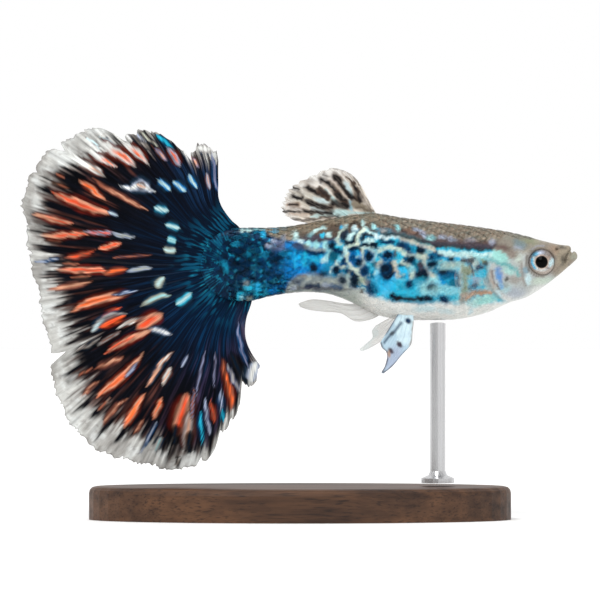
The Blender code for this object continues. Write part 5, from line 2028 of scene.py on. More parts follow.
@dataclass
class TailFan(RayedFin):
    """The wide ruffled tail: navy with a ring of pale marks, orange streaks and a clear edge."""

    centre_x: float = -5.7
    start: float = 2.3
    low: float = -104.0
    high: float = 80.0
    fray: float = 0.3
    grain: Grain = field(default_factory=lambda: Grain(23))
    # reach of the margin by direction: 0 is straight back, 90 up
    margin: Curve = field(
        default_factory=lambda: Curve(
            [
                (-104, 9.4), (-99, 10.8), (-94, 11.0), (-91, 13.0), (-88, 14.4), (-85, 15.5),
                (-82.5, 17.5), (-76, 19.1), (-66, 19.8), (-57, 20.5), (-51, 21.0), (-42, 20.5),
                (-35, 20.0), (-28.5, 19.0), (-19, 18.1), (-8, 18.1), (1, 18.5), (10, 19.3),
                (19, 20.25), (28, 20.0), (37, 19.0), (44.5, 17.7), (48, 15.7), (55, 14.7),
                (60, 13.6), (66, 11.2), (74, 11.3), (80, 10.4),
            ]
        )
    )
    upper_edge: Curve = field(
        default_factory=lambda: Curve(
            [(2.0, 108), (2.7, 103), (3.4, 94), (4.0, 84), (5.1, 76.7), (6.2, 75.0), (7.6, 77.5), (9.5, 80)]
        )
    )
    lower_edge: Curve = field(
        default_factory=lambda: Curve(
            [(2.0, -128), (2.7, -122), (3.5, -113), (4.6, -102), (5.8, -97.5), (7.1, -97.6), (9.2, -103)]
        )
    )
    # tears in the margin: direction, depth, half width in degrees
    tears: tuple[tuple[float, float, float], ...] = (
        (-93.5, 0.8, 1.1), (-88.5, 0.5, 0.8), (-85.0, 0.8, 0.9), (-80.0, 0.7, 0.9), (-76.0, 0.35, 0.5),
        (-68.0, 0.4, 0.5), (-59.5, 0.35, 0.4), (-46.0, 0.35, 0.4), (-27.0, 1.7, 1.3), (-14.0, 0.3, 0.4),
        (3.5, 0.45, 0.5), (14.5, 0.3, 0.4), (25.0, 0.4, 0.5), (33.5, 0.9, 1.1), (41.0, 0.4, 0.5),
        (48.0, 0.9, 1.2), (52.5, 0.4, 0.6), (57.0, 0.35, 0.5), (66.5, 0.8, 1.2), (73.0, 0.4, 0.6),
    )

    def reach(self, degrees: Array) -> Array:
        """Reach of the margin, with its tears and frayed teeth.

        Args:
            degrees: Directions; 0 is straight back.

        Returns:
            Millimetres from the stalk's end.
        """
        out = self.margin(degrees)
        for at, depth, half in self.tears:
            out = out - depth * np.clip(1 - np.abs(degrees - at) / half, 0, 1)
        out = out + self.fray * self.grain.at(degrees * 0.33, np.full_like(degrees, 7.0)) * 0.8
        return out + 0.16 * self.grain.at(degrees * 1.9, np.full_like(degrees, 3.0))

    def bow(self, degrees: Array, reach: Array) -> Array:
        """How far the membrane swings off the middle plane, in loose pleats.

        Args:
            degrees: Directions.
            reach: Distances from the stalk's end.

        Returns:
            Millimetres.
        """
        out = ramp(reach, 5.0, 21.0)
        pleats = 0.62 * np.sin(np.radians(degrees * 8.5 + 35)) + 0.26 * np.sin(np.radians(degrees * 19))
        ruffle = 0.10 * ramp(reach, 13.0, 19.0) * np.sin(np.radians(degrees * 47))
        curl = -1.1 * ramp(-degrees, 88, 104) * ramp(reach, 5.0, 9.5)
        return out * pleats + ruffle + curl + 0.9 * out * out * np.cos(np.radians(degrees))

    def polar(self, across: Array, along: Array) -> tuple[Array, Array, Array]:
        """Nominal direction, true direction and reach of each point.

        Args:
            across: Share across the fin, 0 to 1.
            along: Share from root to margin.

        Returns:
            The two directions in degrees, and the reach.
        """
        degrees = self.low + (self.high - self.low) * across
        reach = self.start + (self.reach(degrees) - self.start) * along
        true = degrees + (self.upper_edge(reach) - self.high) * across**5
        true = true + (self.lower_edge(reach) - self.low) * (1 - across) ** 5
        return degrees, true, reach

    def place(self, across: Array, along: Array) -> tuple[Array, Array, Array]:
        """The fan's middle surface.

        Args:
            across: Share across the fin, 0 to 1.
            along: Share from root to margin.

        Returns:
            x, z and the bow.
        """
        degrees, true, reach = self.polar(across, along)
        turned = np.radians(true)
        return (
            self.centre_x - reach * np.cos(turned),
            reach * np.sin(turned),
            self.bow(degrees, reach),
        )

    def laid_out(self, across: Array, along: Array, points: Array) -> FanSpread:
        """Works out the angles, the reaches and the noise of points.

        Args:
            across: Share across the fan.
            along: Share from root to margin.
            points: Places in the fan's plane, as x, z and bow.

        Returns:
            The points, laid out for painting.
        """
        x, z = points[:, 0], points[:, 1]
        degrees, _, reach = self.polar(across, along)
        hair = self.grain.at(degrees * 0.9, reach * 0.30)
        thread = self.grain.at(degrees * 2.3 + 50, reach * 0.42)
        wisp = self.grain.at(degrees * 5.5 + 90, reach * 0.8)
        cloud = self.grain.cloudy(x * 0.5, z * 0.5)
        ray = self.ray_height(across, along)
        return FanSpread(x, z, degrees, reach, hair, thread, wisp, cloud, ray)

    def dark(self, at: FanSpread) -> Array:
        """The black ground, with brown light between the bands, stronger toward the margin.

        Args:
            at: The places.

        Returns:
            Their colours.
        """
        colour = plain((0.0022, 0.0028, 0.006), len(at.x))
        warm = ramp(at.reach, 11.0, 16.0) * ramp(at.hair + 0.6 * at.thread, 0.2, 0.8)
        colour = blend(colour, (0.055, 0.024, 0.021), 0.55 * warm)
        ember = self.grain.at(at.degrees * 1.1 + 200, at.reach * 0.22) + 0.25 * at.wisp
        glowing = ramp(at.reach, 9.5, 13.0) * ramp(ember, 0.42, 0.78)
        return blend(colour, (0.15, 0.048, 0.031), 0.32 * glowing)

    def blues(self, colour: Array, at: FanSpread) -> Array:
        """Blue rays out of the stalk, strongest below, and the violet and blue outer rays.

        Args:
            colour: The ground's colours.
            at: The places.

        Returns:
            The colours with the blues.
        """
        degrees, reach, between = at.degrees, at.reach, at.hair + 0.6 * at.thread
        under = ramp(degrees, 10, -45)
        blue = ramp(reach + 1.6 * at.hair, 13.0, 5.0) * (0.3 + 0.7 * under)
        colour = blend(colour, (0.001, 0.0085, 0.028), 0.9 * blue)
        colour = blend(colour, (0.003, 0.042, 0.12), 0.65 * blue * ramp(at.thread, 0.1, 0.6))
        plum = ramp(degrees, -55, -80) * ramp(reach, 6.0, 9.0) * ramp(between, 0.0, 0.6)
        colour = blend(colour, (0.05, 0.04, 0.10), 0.6 * plum)
        top = ramp(degrees, 50, 66) * ramp(reach, 4.5, 8.0) * ramp(between, -0.2, 0.5)
        colour = blend(colour, (0.012, 0.05, 0.14), 0.7 * top)
        colour = near_stalk(colour, degrees, reach, self.grain)
        column, row = squares(at.x, at.z)
        sheen = bell(column + 2 * at.thread, 241, 4.0) * bell(row, 340, 22)
        return blend(colour, (0.17, 0.12, 0.20), 0.55 * sheen * ramp(at.wisp, -0.5, 0.4))

    def clear_rim(self, colour: Array, at: FanSpread) -> tuple[Array, Array, Array]:
        """The smoky margin, clear at its rim, with black fingers running out along the rays.

        Args:
            colour: The ground's colours.
            at: The places.

        Returns:
            The colours with the margin, how pale and how solid they are.
        """
        x, z, thread, wisp, cloud = at.x, at.z, at.thread, at.wisp, at.cloud
        depth = at.reach - (self.reach(at.degrees) - CLEAR_WIDTH(at.degrees))
        depth = depth + 1.0 * at.hair + 0.9 * thread + 0.45 * cloud
        smoke = ramp(depth, -1.3, 0.4)
        pale = ramp(depth, -0.3, 0.9)
        blotch = self.grain.cloudy(x * 1.3 + 30, z * 1.3)
        misty = plain((0.42, 0.41, 0.385), len(x))
        misty = blend(misty, (0.63, 0.63, 0.60), ramp(cloud + 0.7 * blotch + 0.2 * wisp, -0.5, 0.1))
        misty = blend(misty, (0.78, 0.80, 0.78), ramp(blotch + 0.4 * cloud, 0.03, 0.42))
        smut = ramp(self.grain.cloudy(x * 3 + 9, z * 3), 0.25, 0.6)
        misty = blend(misty, (0.30, 0.27, 0.25), 0.5 * smut)
        colour = blend(colour, (0.19, 0.155, 0.14), 0.85 * smoke * ramp(wisp + thread, -0.7, 0.5))
        colour = blend(colour, misty, pale)
        line = ramp(at.ray, 0.5, 0.95) * ramp(wisp + 0.6 * at.hair, -0.2, 0.45)
        colour = blend(colour, (0.055, 0.045, 0.042), 0.45 * pale * line)
        dash = ramp(thread - 0.30 * depth, 0.20, 0.50) * ramp(depth, 2.8, 0.8)
        colour = blend(colour, (0.03, 0.026, 0.025), 0.7 * pale * dash)
        return colour, pale, 1 - 0.25 * pale * (1 - 0.7 * np.maximum(line, dash))

    def paint(self, across: Array, along: Array, points: Array) -> tuple[Array, Array]:
        """Navy and black ground, streaks, rays and the clear pale margin.

        Args:
            across: Share across the fan.
            along: Share from root to margin.
            points: Places in the fan's plane, as x, z and bow.

        Returns:
            Colours and how solid they are.
        """
        at = self.laid_out(across, along, points)
        colour = self.blues(self.dark(at), at)
        colour, pale, alpha = self.clear_rim(colour, at)
        self.kindle(colour, alpha, at)
        seam = ramp(at.ray, 0.75, 1.0) * (1 - pale) * ramp(at.reach, 6.0, 9.0)
        colour = colour * (1 - 0.3 * seam)[:, None]
        rim = ramp(self.reach(at.degrees) - at.reach, 0.10, 0.03)
        colour = blend(colour, (0.24, 0.22, 0.21), 0.55 * rim)
        return colour, np.clip(alpha, 0.3, 1.0)

    def kindle(self, colour: Array, alpha: Array, at: FanSpread) -> None:
        """Lays the streaks over the ground, in place.

        Args:
            colour: The ground's colours.
            alpha: How solid the ground is.
            at: The places.
        """
        thread, wisp = at.thread, at.wisp
        column, row = squares(at.x, at.z)
        column = column + 0.9 * self.grain.at(column * 0.16, row * 0.16)
        row = row + 0.9 * self.grain.at(column * 0.16 + 70, row * 0.16)
        for flame in FLAMES:
            lows, highs = np.min(flame.path, axis=0) - 14, np.max(flame.path, axis=0) + 14
            in_columns = (column > lows[0]) & (column < highs[0])
            near = np.flatnonzero(in_columns & (row > lows[1]) & (row < highs[1]))
            inside, along = flame.inside(column[near], row[near])
            blunt = flame.blunt >= 3
            ragged = 0.05 if blunt else 0.13
            inside = inside + ragged * (wisp[near] + thread[near])
            part = colour[near]
            solid = alpha[near] > 0.9
            part = part * (1 - 0.55 * ramp(inside, -1.3, -0.2) * solid)[:, None]
            ends = ramp(along, -0.02, 0.22) * ramp(along, 1.02, 0.78)
            red, _, deep = flame.core.value
            warmth = (0.16, 0.11, 0.14) if red > 1.6 * deep else (0.02, 0.05, 0.10)
            glow = np.asarray(flame.core.value) * warmth
            part = blend(part, glow, 0.7 * ends * solid * ramp(inside, -0.9, 0.1))
            part = blend(part, flame.rim.value, (0.25 + 0.7 * ends) * ramp(inside, -0.05, 0.6))
            low, high = flame.heart
            lit = ramp(along, low - 0.15, low + 0.15) * ramp(along, high + 0.2, high - 0.2)
            part = blend(part, flame.core.value, lit * ramp(inside + 0.12 * wisp[near], 0.36, 0.95))
            stripe = 0.06 if blunt else 0.2
            strands = ramp(wisp[near] + 0.4 * thread[near], -0.6, 0.6)
            part = part * (1 - 0.6 * stripe + stripe * strands)[:, None]
            colour[near] = part
            alpha[near] = np.maximum(alpha[near], ramp(inside, 0.0, 0.3))


@dataclass
class FannedFin(RayedFin):
    """A fin whose rays run from a root line to its tips, the first along its front edge."""

    tips: Path = field(default_factory=lambda: Path([(0, 0), (1, 1)]))
    front_edge: Path = field(default_factory=lambda: Path([(0, 0), (1, 1)]))
    teeth: float = 0.0
    grain: Grain = field(default_factory=lambda: Grain(31))

    def root(self, across: Array) -> tuple[Array, Array]:
        """The root line."""
        raise NotImplementedError

    def swing(self, across: Array, along: Array) -> Array:
        """How far the fin bows off its plane."""
        raise NotImplementedError

    def place(self, across: Array, along: Array) -> tuple[Array, Array, Array]:
        """The fin's middle surface.

        Args:
            across: Share across the fin, 0 to 1.
            along: Share from root to margin.

        Returns:
            x, z and the bow.
        """
        root_x, root_z = self.root(across)
        tip_x, tip_z = self.tips(across)
        edge_x, edge_z = self.front_edge(along)
        (x0, z0), (x1, z1) = self.front_edge(0.0), self.front_edge(1.0)
        share = (1 - across) ** 2
        lane = np.abs((across * self.rays * 2) % 1.0 - 0.5)
        along = along * (1 - self.teeth * lane * ramp(across, 0.05, 0.3))
        x = root_x + (tip_x - root_x) * along + (edge_x - x0 - (x1 - x0) * along) * share
        z = root_z + (tip_z - root_z) * along + (edge_z - z0 - (z1 - z0) * along) * share
        return x, z, self.swing(across, along)


DORSAL_MARKS: tuple[Dab | Stroke, ...] = (
    Dab(T.BEIGE, 318, 200, 26, 9, -10, 5, 0.5),
    Dab(T.DUST, 310, 181, 4.5, 3, -20, 2, 0.6),
    Stroke(T.ICE, 3.4, ((325, 190), (332, 198), (337, 203)), 1.4, 0.95),
    Stroke(T.FROST, 4, ((312, 208), (324, 211)), 1.6, 0.8),
    Dab(T.FROST, 322, 200.5, 8, 2.6, -14, 1.8, 0.8),
    Dab(T.ICE, 338, 212.5, 10, 3.8, 4, 1.6, 0.95),
    Dab(T.CYAN, 351, 205, 2.6, 6, 8, 1.4, 0.7),
    Stroke(T.ICE, 3, ((312, 216), (340, 214.5), (352, 213), (372, 213)), 1.4, 0.9),
    Stroke(T.TAN, 6.4, ((334, 177), (341, 186), (350, 196), (358, 203)), 1.8, 0.35),
    Stroke(T.SOOT, 5.8, ((334, 175.5), (338, 179), (343, 187), (350, 195), (358, 201)), 2),
    Dab(T.FROST, 348.5, 187.5, 6.5, 2, -58, 1.4, 0.85),
    Stroke(T.SOOT, 5.4, ((356.5, 190), (358.5, 195), (361, 201)), 2),
    Stroke(T.SOOT, 3.6, ((353, 183), (356, 190)), 1.6),
    Stroke(T.UMBER, 2.4, ((346.5, 177.5), (351, 180.5), (354, 185)), 1.2),
    Stroke(T.UMBER, 1.3, ((354.5, 178.5), (359, 185)), 0.9, 0.8),
    Stroke(T.SOOT, 4.8, ((321.5, 179.5), (328, 183), (334, 189), (336.5, 193)), 2),
    Stroke(T.SOOT, 6.3, ((338, 195), (342, 199.5), (345, 202)), 2),
    Stroke(T.SOOT, 5.3, ((306.5, 187.5), (312, 190.5), (321, 194), (328, 196.5)), 2),
    Stroke(T.UMBER, 6, ((320.5, 189), (325, 193), (328, 197)), 1.8, 0.9),
    Stroke(T.SOOT, 4.6, ((320, 190), (325, 193.5), (327.5, 197)), 2.2, 0.85),
    Stroke(T.UMBER, 2.9, ((324, 173.5), (328, 177)), 1.1, 0.75),
    Stroke(T.SOOT, 3, ((291.5, 187), (298.5, 190)), 1.5),
    Stroke(T.SOOT, 4.6, ((293, 196), (302, 198.5)), 2),
    Stroke(T.UMBER, 1.6, ((298, 192), (304, 195)), 1, 0.7),
    Stroke(T.SOOT, 5.6, ((307.5, 201.5), (313, 204), (322, 206), (331, 208)), 2),
    Stroke(T.SOOT, 6.8, ((333, 203), (340, 205), (346.5, 206.5)), 2),
    Stroke(T.TAN, 4.4, ((288, 204.5), (299, 205)), 2, 0.8),
    Stroke(T.SOOT, 3.2, ((290, 204.5), (298, 205)), 1.5, 0.95),
    Stroke(T.SOOT, 2.4, ((281, 211), (300, 211.3)), 1.1, 0.95),
    Stroke(T.TAN, 2.4, ((289, 214.5), (302, 214.8), (314, 213.8)), 1.8, 0.6),
    Stroke(T.DUST, 2, ((290, 208.3), (306, 208)), 1.8, 0.45),
    Stroke(T.SOOT, 4.1, ((304, 211), (312, 212), (331, 213)), 2),
    Stroke(T.OLIVE, 6.4, ((354, 204.5), (362, 207), (370, 211)), 2.2, 1),
    Stroke(T.UMBER, 1.6, ((357, 207), (363, 208.5), (369, 211)), 1.6, 0.7),
    Stroke(T.DUST, 3, ((361, 195), (366, 203), (372, 211)), 2.2, 0.6),
    Stroke(T.SOOT, 2, ((293, 219.5), (304, 220.3), (313, 219.3), (324, 217.8), (338, 215.6)), 1.3, 0.8),
    Stroke(T.UMBER, 1.2, ((332, 168), (348, 171), (356, 178), (364, 194), (373, 212)), 0.9, 0.6),
)


@dataclass
class DorsalFin(FannedFin):
    """The small raised dorsal fin: cream with dark broken dashes."""

    form: BodyForm = field(default_factory=BodyForm)
    front_x: float = 7.4
    rear_x: float = 2.9
    sink: float = 0.8

    def root(self, across: Array) -> tuple[Array, Array]:
        """The root line, sunk into the back."""
        x = self.front_x + (self.rear_x - self.front_x) * across
        return x, self.form.top(x) - self.sink

    def swing(self, across: Array, along: Array) -> Array:
        """A loose wave toward the margin."""
        return 0.35 * along * np.sin(np.radians(260 * across))

    def paint(self, across: Array, along: Array, points: Array) -> tuple[Array, Array]:
        """Cream membrane, cyan near the back, with dark dashes along the rays.

        Args:
            across: Share across the fin, 0 to 1.
            along: Share from root to margin.
            points: Places, as x, z and bow.

        Returns:
            Colours, and how solid they are.
        """
        x, z = points[:, 0], points[:, 1]
        thread = self.grain.at(across * 70, along * 3)
        cloud = self.grain.cloudy(x * 1.6, z * 1.6)
        colour = plain((0.78, 0.71, 0.62), len(x))
        colour = blend(colour, (0.82, 0.81, 0.78), ramp(along + 0.3 * cloud, 0.6, 1.0))
        colour = blend(colour, (0.40, 0.30, 0.22), 0.45 * ramp(cloud + 0.5 * thread, 0.0, 0.5))
        colour = blend(colour, (0.42, 0.36, 0.29), 0.55 * ramp(thread, 0.1, 0.6) * ramp(along, 1.0, 0.7))
        ray = self.ray_height(across, along)
        colour = blend(colour, (0.40, 0.36, 0.32), 0.35 * ramp(ray, 0.5, 1.0))
        column, row = squares(x, z)
        column = column + 1.0 * self.grain.at(column * 0.35, row * 0.35)
        row = row + 1.2 * self.grain.at(column * 0.35 + 40, row * 0.35) + 0.8 * thread
        dark = np.zeros(len(x))
        for mark in DORSAL_MARKS:
            if mark.tint is Tint.SOOT:
                fringe = replace(mark, width=mark.width + 2.0, soft=1.8, strength=0.4)
                colour = blend(colour, (0.17, 0.10, 0.065), fringe.cover(column, row))
            share = mark.cover(column, row) * (1 - 0.10 * ramp(thread, 0.1, 0.6))
            colour = blend(colour, mark.tint.value, share)
            dark = np.maximum(dark, share) if mark.tint in (Tint.SOOT, Tint.UMBER) else dark
        alpha = 0.90 - 0.25 * ramp(along, 0.75, 1.0)
        return colour, np.clip(np.maximum(alpha + 0.1 * ray, dark), 0, 1)


PELVIC_MARKS: tuple[Dab | Stroke, ...] = (
    Dab(T.LILAC, 392, 358, 8, 14, -30, 4, 0.85),
    Stroke(T.DUST, 2.2, ((413, 322), (412, 335), (410, 346)), 1.2, 0.8),
    Stroke(T.PLUM, 1.8, ((410, 347), (404, 352), (396, 362), (388, 369.5), (383, 372)), 1.1, 0.85),
    Stroke(T.PLUM, 2.2, ((380, 343), (382, 348), (386, 351), (386.5, 360), (382, 371)), 1.3, 0.9),
    Dab(T.NAVY, 408, 321, 2.4, 3, 40, 1.2),
    Stroke(T.NAVY, 2.6, ((401, 323), (395, 330), (388, 337), (384, 342)), 1.8, 0.8),
    Dab(T.PLUM, 399, 344, 2.2, 3.6, 40, 1.2),
    Dab(T.PLUM, 390.5, 350, 2.2, 3.2, 40, 1.2),
    Dab(T.TAN, 388.5, 353, 1.5, 3.4, 10, 1.2, 0.9),
    Dab(T.SOOT, 392, 333, 2.4, 2, 30, 1.3, 0.7),
)


@dataclass
class PelvicFin(FannedFin):
    """A pelvic fin, in its own plane about its root."""

    side: Side = Side.RIGHT
    root_width: float = 1.3

    def root(self, across: Array) -> tuple[Array, Array]:
        """The short root line."""
        return self.root_width * (0.5 - across), np.zeros_like(across)

    def swing(self, across: Array, along: Array) -> Array:
        """A slight bow across the fin."""
        return 0.25 * along * np.sin(math.pi * across)

    def paint(self, across: Array, along: Array, points: Array) -> tuple[Array, Array]:
        """Blue-white with dusky edges on the right fin, clear and pale on the left.

        Args:
            across: Share across the fin, 0 to 1.
            along: Share from root to margin.
            points: Places, as x, z and bow.

        Returns:
            Colours, and how solid they are.
        """
        x, z = points[:, 0], points[:, 1]
        cloud = self.grain.cloudy(x * 1.5, z * 1.5)
        ray = self.ray_height(across, along)
        rim = np.maximum(ramp(across, 0.05, 0.0), ramp(across, 0.95, 1.0))
        if self.side is Side.LEFT:
            colour = plain((0.97, 0.96, 0.93), len(x))
            colour = blend(colour, (0.90, 0.97, 0.96), ramp(along + 0.2 * cloud, 0.6, 1.0))
            colour = blend(colour, (0.78, 0.75, 0.72), 0.35 * ramp(ray, 0.5, 1.0))
            colour = blend(colour, (0.36, 0.33, 0.31), 0.4 * rim)
            return colour, 0.50 + 0.2 * ray
        colour = plain((0.44, 0.60, 0.70), len(x))
        colour = blend(colour, (0.60, 0.76, 0.82), ramp(cloud + 1.2 * (0.45 - along), -0.3, 0.4))
        colour = blend(colour, (0.40, 0.50, 0.60), 0.3 * ramp(ray, 0.5, 1.0))
        column, row = squares(x + PELVIC_ROOT[0], z * math.cos(PELVIC_SPLAY) + PELVIC_ROOT[2])
        column = column + 0.5 * self.grain.at(column * 0.5, row * 0.5)
        for mark in PELVIC_MARKS:
            colour = blend(colour, mark.tint.value, mark.cover(column, row))
        dusk = ramp(across, 0.86, 1.0) * ramp(along, 0.85, 0.6)
        colour = blend(colour, Tint.PLUM.value, 0.8 * dusk)
        return colour, 0.95 + 0.05 * ray


@dataclass
class AnalFin(RayedFin):
    """The gonopodium: a slim bundle of rays pointing back under the belly."""

    upper: Path = field(
        default_factory=lambda: Path(
            [(6.2, -3.0), (5.1, -3.45), (4.0, -3.45), (2.4, -3.2), (1.1, -3.1), (0.15, -3.35), (-0.14, -3.5)]
        )
    )
    lower: Path = field(
        default_factory=lambda: Path(
            [(7.6, -4.2), (6.5, -4.85), (5.0, -5.06), (3.7, -4.35), (2.2, -4.2), (0.8, -4.02), (0.0, -3.76)]
        )
    )

    def place(self, across: Array, along: Array) -> tuple[Array, Array, Array]:
        """The fin's middle surface, between its two edges.

        Args:
            across: Share across the fin, 0 to 1.
            along: Share from root to margin.

        Returns:
            x, z and the bow.
        """
        x0, z0 = self.upper(along)
        x1, z1 = self.lower(along)
        return x0 + (x1 - x0) * across, z0 + (z1 - z0) * across, np.zeros_like(across)

    def paint(self, across: Array, along: Array, points: Array) -> tuple[Array, Array]:
        """Pale and nearly clear, dusky along its rays.

        Args:
            across: Share across the fin, 0 to 1.
            along: Share from root to margin.
            points: Places, as x, z and bow.

        Returns:
            Colours, and how solid they are.
        """
        ray = self.ray_height(across, along)
        colour = plain((0.73, 0.73, 0.71), len(across))
        colour = blend(colour, (0.56, 0.53, 0.50), 0.4 * ramp(ray, 0.5, 1.0))
        rim = np.maximum(ramp(across, 0.08, 0.0), ramp(across, 0.92, 1.0))
        colour = blend(colour, (0.36, 0.33, 0.29), 0.55 * rim)
        return colour, 0.70 + 0.15 * ray


@dataclass
class PectoralFin(RayedFin):
    """A round clear fan behind the gill cover."""

    root_height: float = 1.2
    length: float = 4.4
    fan_up: float = 24.0
    fan_down: float = -34.0

    def place(self, across: Array, along: Array) -> tuple[Array, Array, Array]:
        """The fin's middle surface in its own plane.

        Args:
            across: Share across the fin, 0 to 1.
            along: Share from root to margin.

        Returns:
            x, z and the bow.
        """
        turned = np.radians(self.fan_down + (self.fan_up - self.fan_down) * across)
        root_z = self.root_height * (across - 0.5)
        length = self.length * (0.78 + 0.22 * np.sin(math.pi * across))
        x = -length * np.cos(turned) * along
        z = root_z + length * np.sin(turned) * along
        return x, z, 0.3 * along * along * np.sin(math.pi * across)

    def paint(self, across: Array, along: Array, points: Array) -> tuple[Array, Array]:
        """Almost clear, its rays a little more solid.

        Args:
            across: Share across the fin, 0 to 1.
            along: Share from root to margin.
            points: Places, as x, z and bow.

        Returns:
            Colours, and how solid they are.
        """
        ray = self.ray_height(across, along)
        colour = plain((0.66, 0.69, 0.66), len(across))
        colour = blend(colour, (0.42, 0.44, 0.40), 0.6 * ray)
        return colour, 0.025 + 0.16 * ray * (1 - 0.5 * along) + 0.2 * ramp(along, 0.12, 0.0)


# Eyes


IRIS_MARKS: tuple[Dab | Stroke, ...] = (
    Stroke(T.UMBER, 2.2, ((530.5, 254), (535, 250), (541, 248.9), (548, 251.4), (553, 257.5)), 1.5, 0.9),
    Dab(T.DUST, 547, 254, 5, 2.4, -40, 1.6, 0.6),
    Dab(T.TEAL, 534.5, 254.5, 4.2, 2.2, 30, 1.4, 0.75),
    Dab(T.LILAC, 540, 252.5, 3.4, 1.8, 0, 1.4, 0.5),
    # painted highlight: the frost and sky strokes make a blue-white highlight on the rear side of the silver
    # iris
    Stroke(T.FROST, 2.2, ((533, 258), (532.4, 263), (536, 268.6)), 1.2, 0.9),
    Stroke(T.SKY, 1.6, ((531, 259), (530.8, 263), (534, 268.6)), 1, 0.9),
    Dab(T.TAN, 535, 261, 0.9, 3.2, 0, 1.2, 0.7),
    Dab(T.FROST, 551, 263.5, 3.4, 5, 0, 1.2, 1),
    Dab(T.FROST, 551, 263, 2.2, 3.6, 0, 1.2, 0.9),
    Stroke(T.SOOT, 1.6, ((554, 259), (554.2, 266), (551, 270)), 1, 0.6),
    Dab(T.PEARL, 541, 270.5, 5.5, 2, 0, 1.4, 0.6),
    Dab(T.TAN, 548, 258.5, 1.6, 2.6, 30, 1.2, 0.5),
)


@dataclass
class Eye:
    """An eye: a silvery iris round a black bulging lens."""

    shop: Workshop
    side: Side
    radius: float = 1.2
    depth: float = 0.84
    centre_y: float = 1.5
    pupil: float = 0.53
    grain: Grain = field(default_factory=lambda: Grain(41))

    def disc(self, rings: int) -> tuple[BMesh, Array]:
        """A ball with its pole on the y axis, and its points.

        Args:
            rings: Rings of faces from pole to pole.

        Returns:
            The ball and its points.
        """
        bm = bmesh.new()
        bmesh.ops.create_uvsphere(bm, u_segments=72, v_segments=rings, radius=1.0)
        bmesh.ops.transform(bm, matrix=Matrix.Rotation(math.radians(90), 4, "X"), verts=bm.verts)
        return bm, np.array([v.co[:] for v in bm.verts])

    def settle(self, bm: BMesh, unit: Array, depth: Array, radius: float) -> None:
        """Moves the unit ball's points to the eye's place.

        Args:
            bm: The ball.
            unit: Its points.
            depth: Half its width along y, a point.
            radius: Its radius seen from the side.
        """
        out = self.side.value
        for vert, (x, y, z), d in zip(bm.verts, unit, depth):
            y = out * self.centre_y + y * d
            vert.co = (EYE_CENTRE[0] + x * radius, y, EYE_CENTRE[2] + z * radius)
        bmesh.ops.recalc_face_normals(bm, faces=bm.faces)

    def build(self, ball: Material) -> None:
        """Builds the ball.

        Args:
            ball: The painted ball's material.
        """
        name = self.side.name.lower()
        bm, unit = self.disc(48)
        away = np.hypot(unit[:, 0], unit[:, 2]) * self.radius
        outer = unit[:, 1] * self.side.value > 0
        iris = -0.10 * ramp(away, 1.1, 0.55) + 0.13 * ramp(away, self.pupil + 0.04, 0.1)
        depth = self.depth * (1 + np.where(outer, iris, 0.0))
        self.settle(bm, unit, depth, self.radius)
        eye = self.shop.finish(f"eye_ball_{name}", bm, ball, "eye")
        self.paint(eye.data)
        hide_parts(f"eye_{name}")

    def paint(self, mesh: Mesh) -> None:
        """Paints pupil, gold ring and iris, and painted shade round the ball's rim.

        Args:
            mesh: The ball's mesh.
        """
        points = self.shop.fish_points(mesh)
        dx, dz = points[:, 0] - EYE_CENTRE[0], points[:, 2] - EYE_CENTRE[2]
        away, angle = np.hypot(dx, dz), np.arctan2(dz, dx)
        fibre = self.grain.at(angle * 14, away * 2.5)
        colour = plain((0.29, 0.265, 0.265), len(dx))
        colour = blend(colour, (0.42, 0.42, 0.43), ramp(fibre, -0.2, 0.6))
        colour = blend(colour, (0.25, 0.235, 0.25), 0.6 * ramp(dz, 0.45, 0.8))
        column, row = squares(points[:, 0], points[:, 2])
        for mark in IRIS_MARKS:
            colour = blend(colour, mark.tint.value, mark.cover(column, row))
        colour = blend(colour, (0.56, 0.40, 0.30), 0.7 * bell(away, self.pupil + 0.075, 0.05))
        tall = np.hypot(dx * 0.96, dz * 1.08)
        low = ramp(dz, 0.1, -0.5)
        colour = blend(colour, (0.40, 0.345, 0.30), 0.9 * low * ramp(tall, 0.86, 0.98))
        # painted shade: the ball darkens at its rim, where it sits in the socket
        colour = blend(colour, (0.20, 0.165, 0.14), 0.5 * ramp(away, 1.12, 1.18))
        pupil = ramp(away, self.pupil + 0.035, self.pupil - 0.005)
        colour = blend(colour, (0.001, 0.001, 0.001), pupil)
        write_colour(mesh, "paint", colour)
        write_field(mesh, "gleam", 0.25 * (1 - pupil))


# Stand and studio


@dataclass
class Stand:
    """The display base and rod, which keep their own solids."""

    nodes: dict[str, bpy.types.Object]

    def dress(self) -> None:
        """Gives the base its walnut and the rod its steel."""
        for name, finish in (("stand_base", WalnutFinish()), ("stand_rod", SteelFinish())):
            mesh = self.nodes[name].data
            mesh.materials.clear()
            mesh.materials.append(finish.make())
            LOG.info("%s dressed", name)


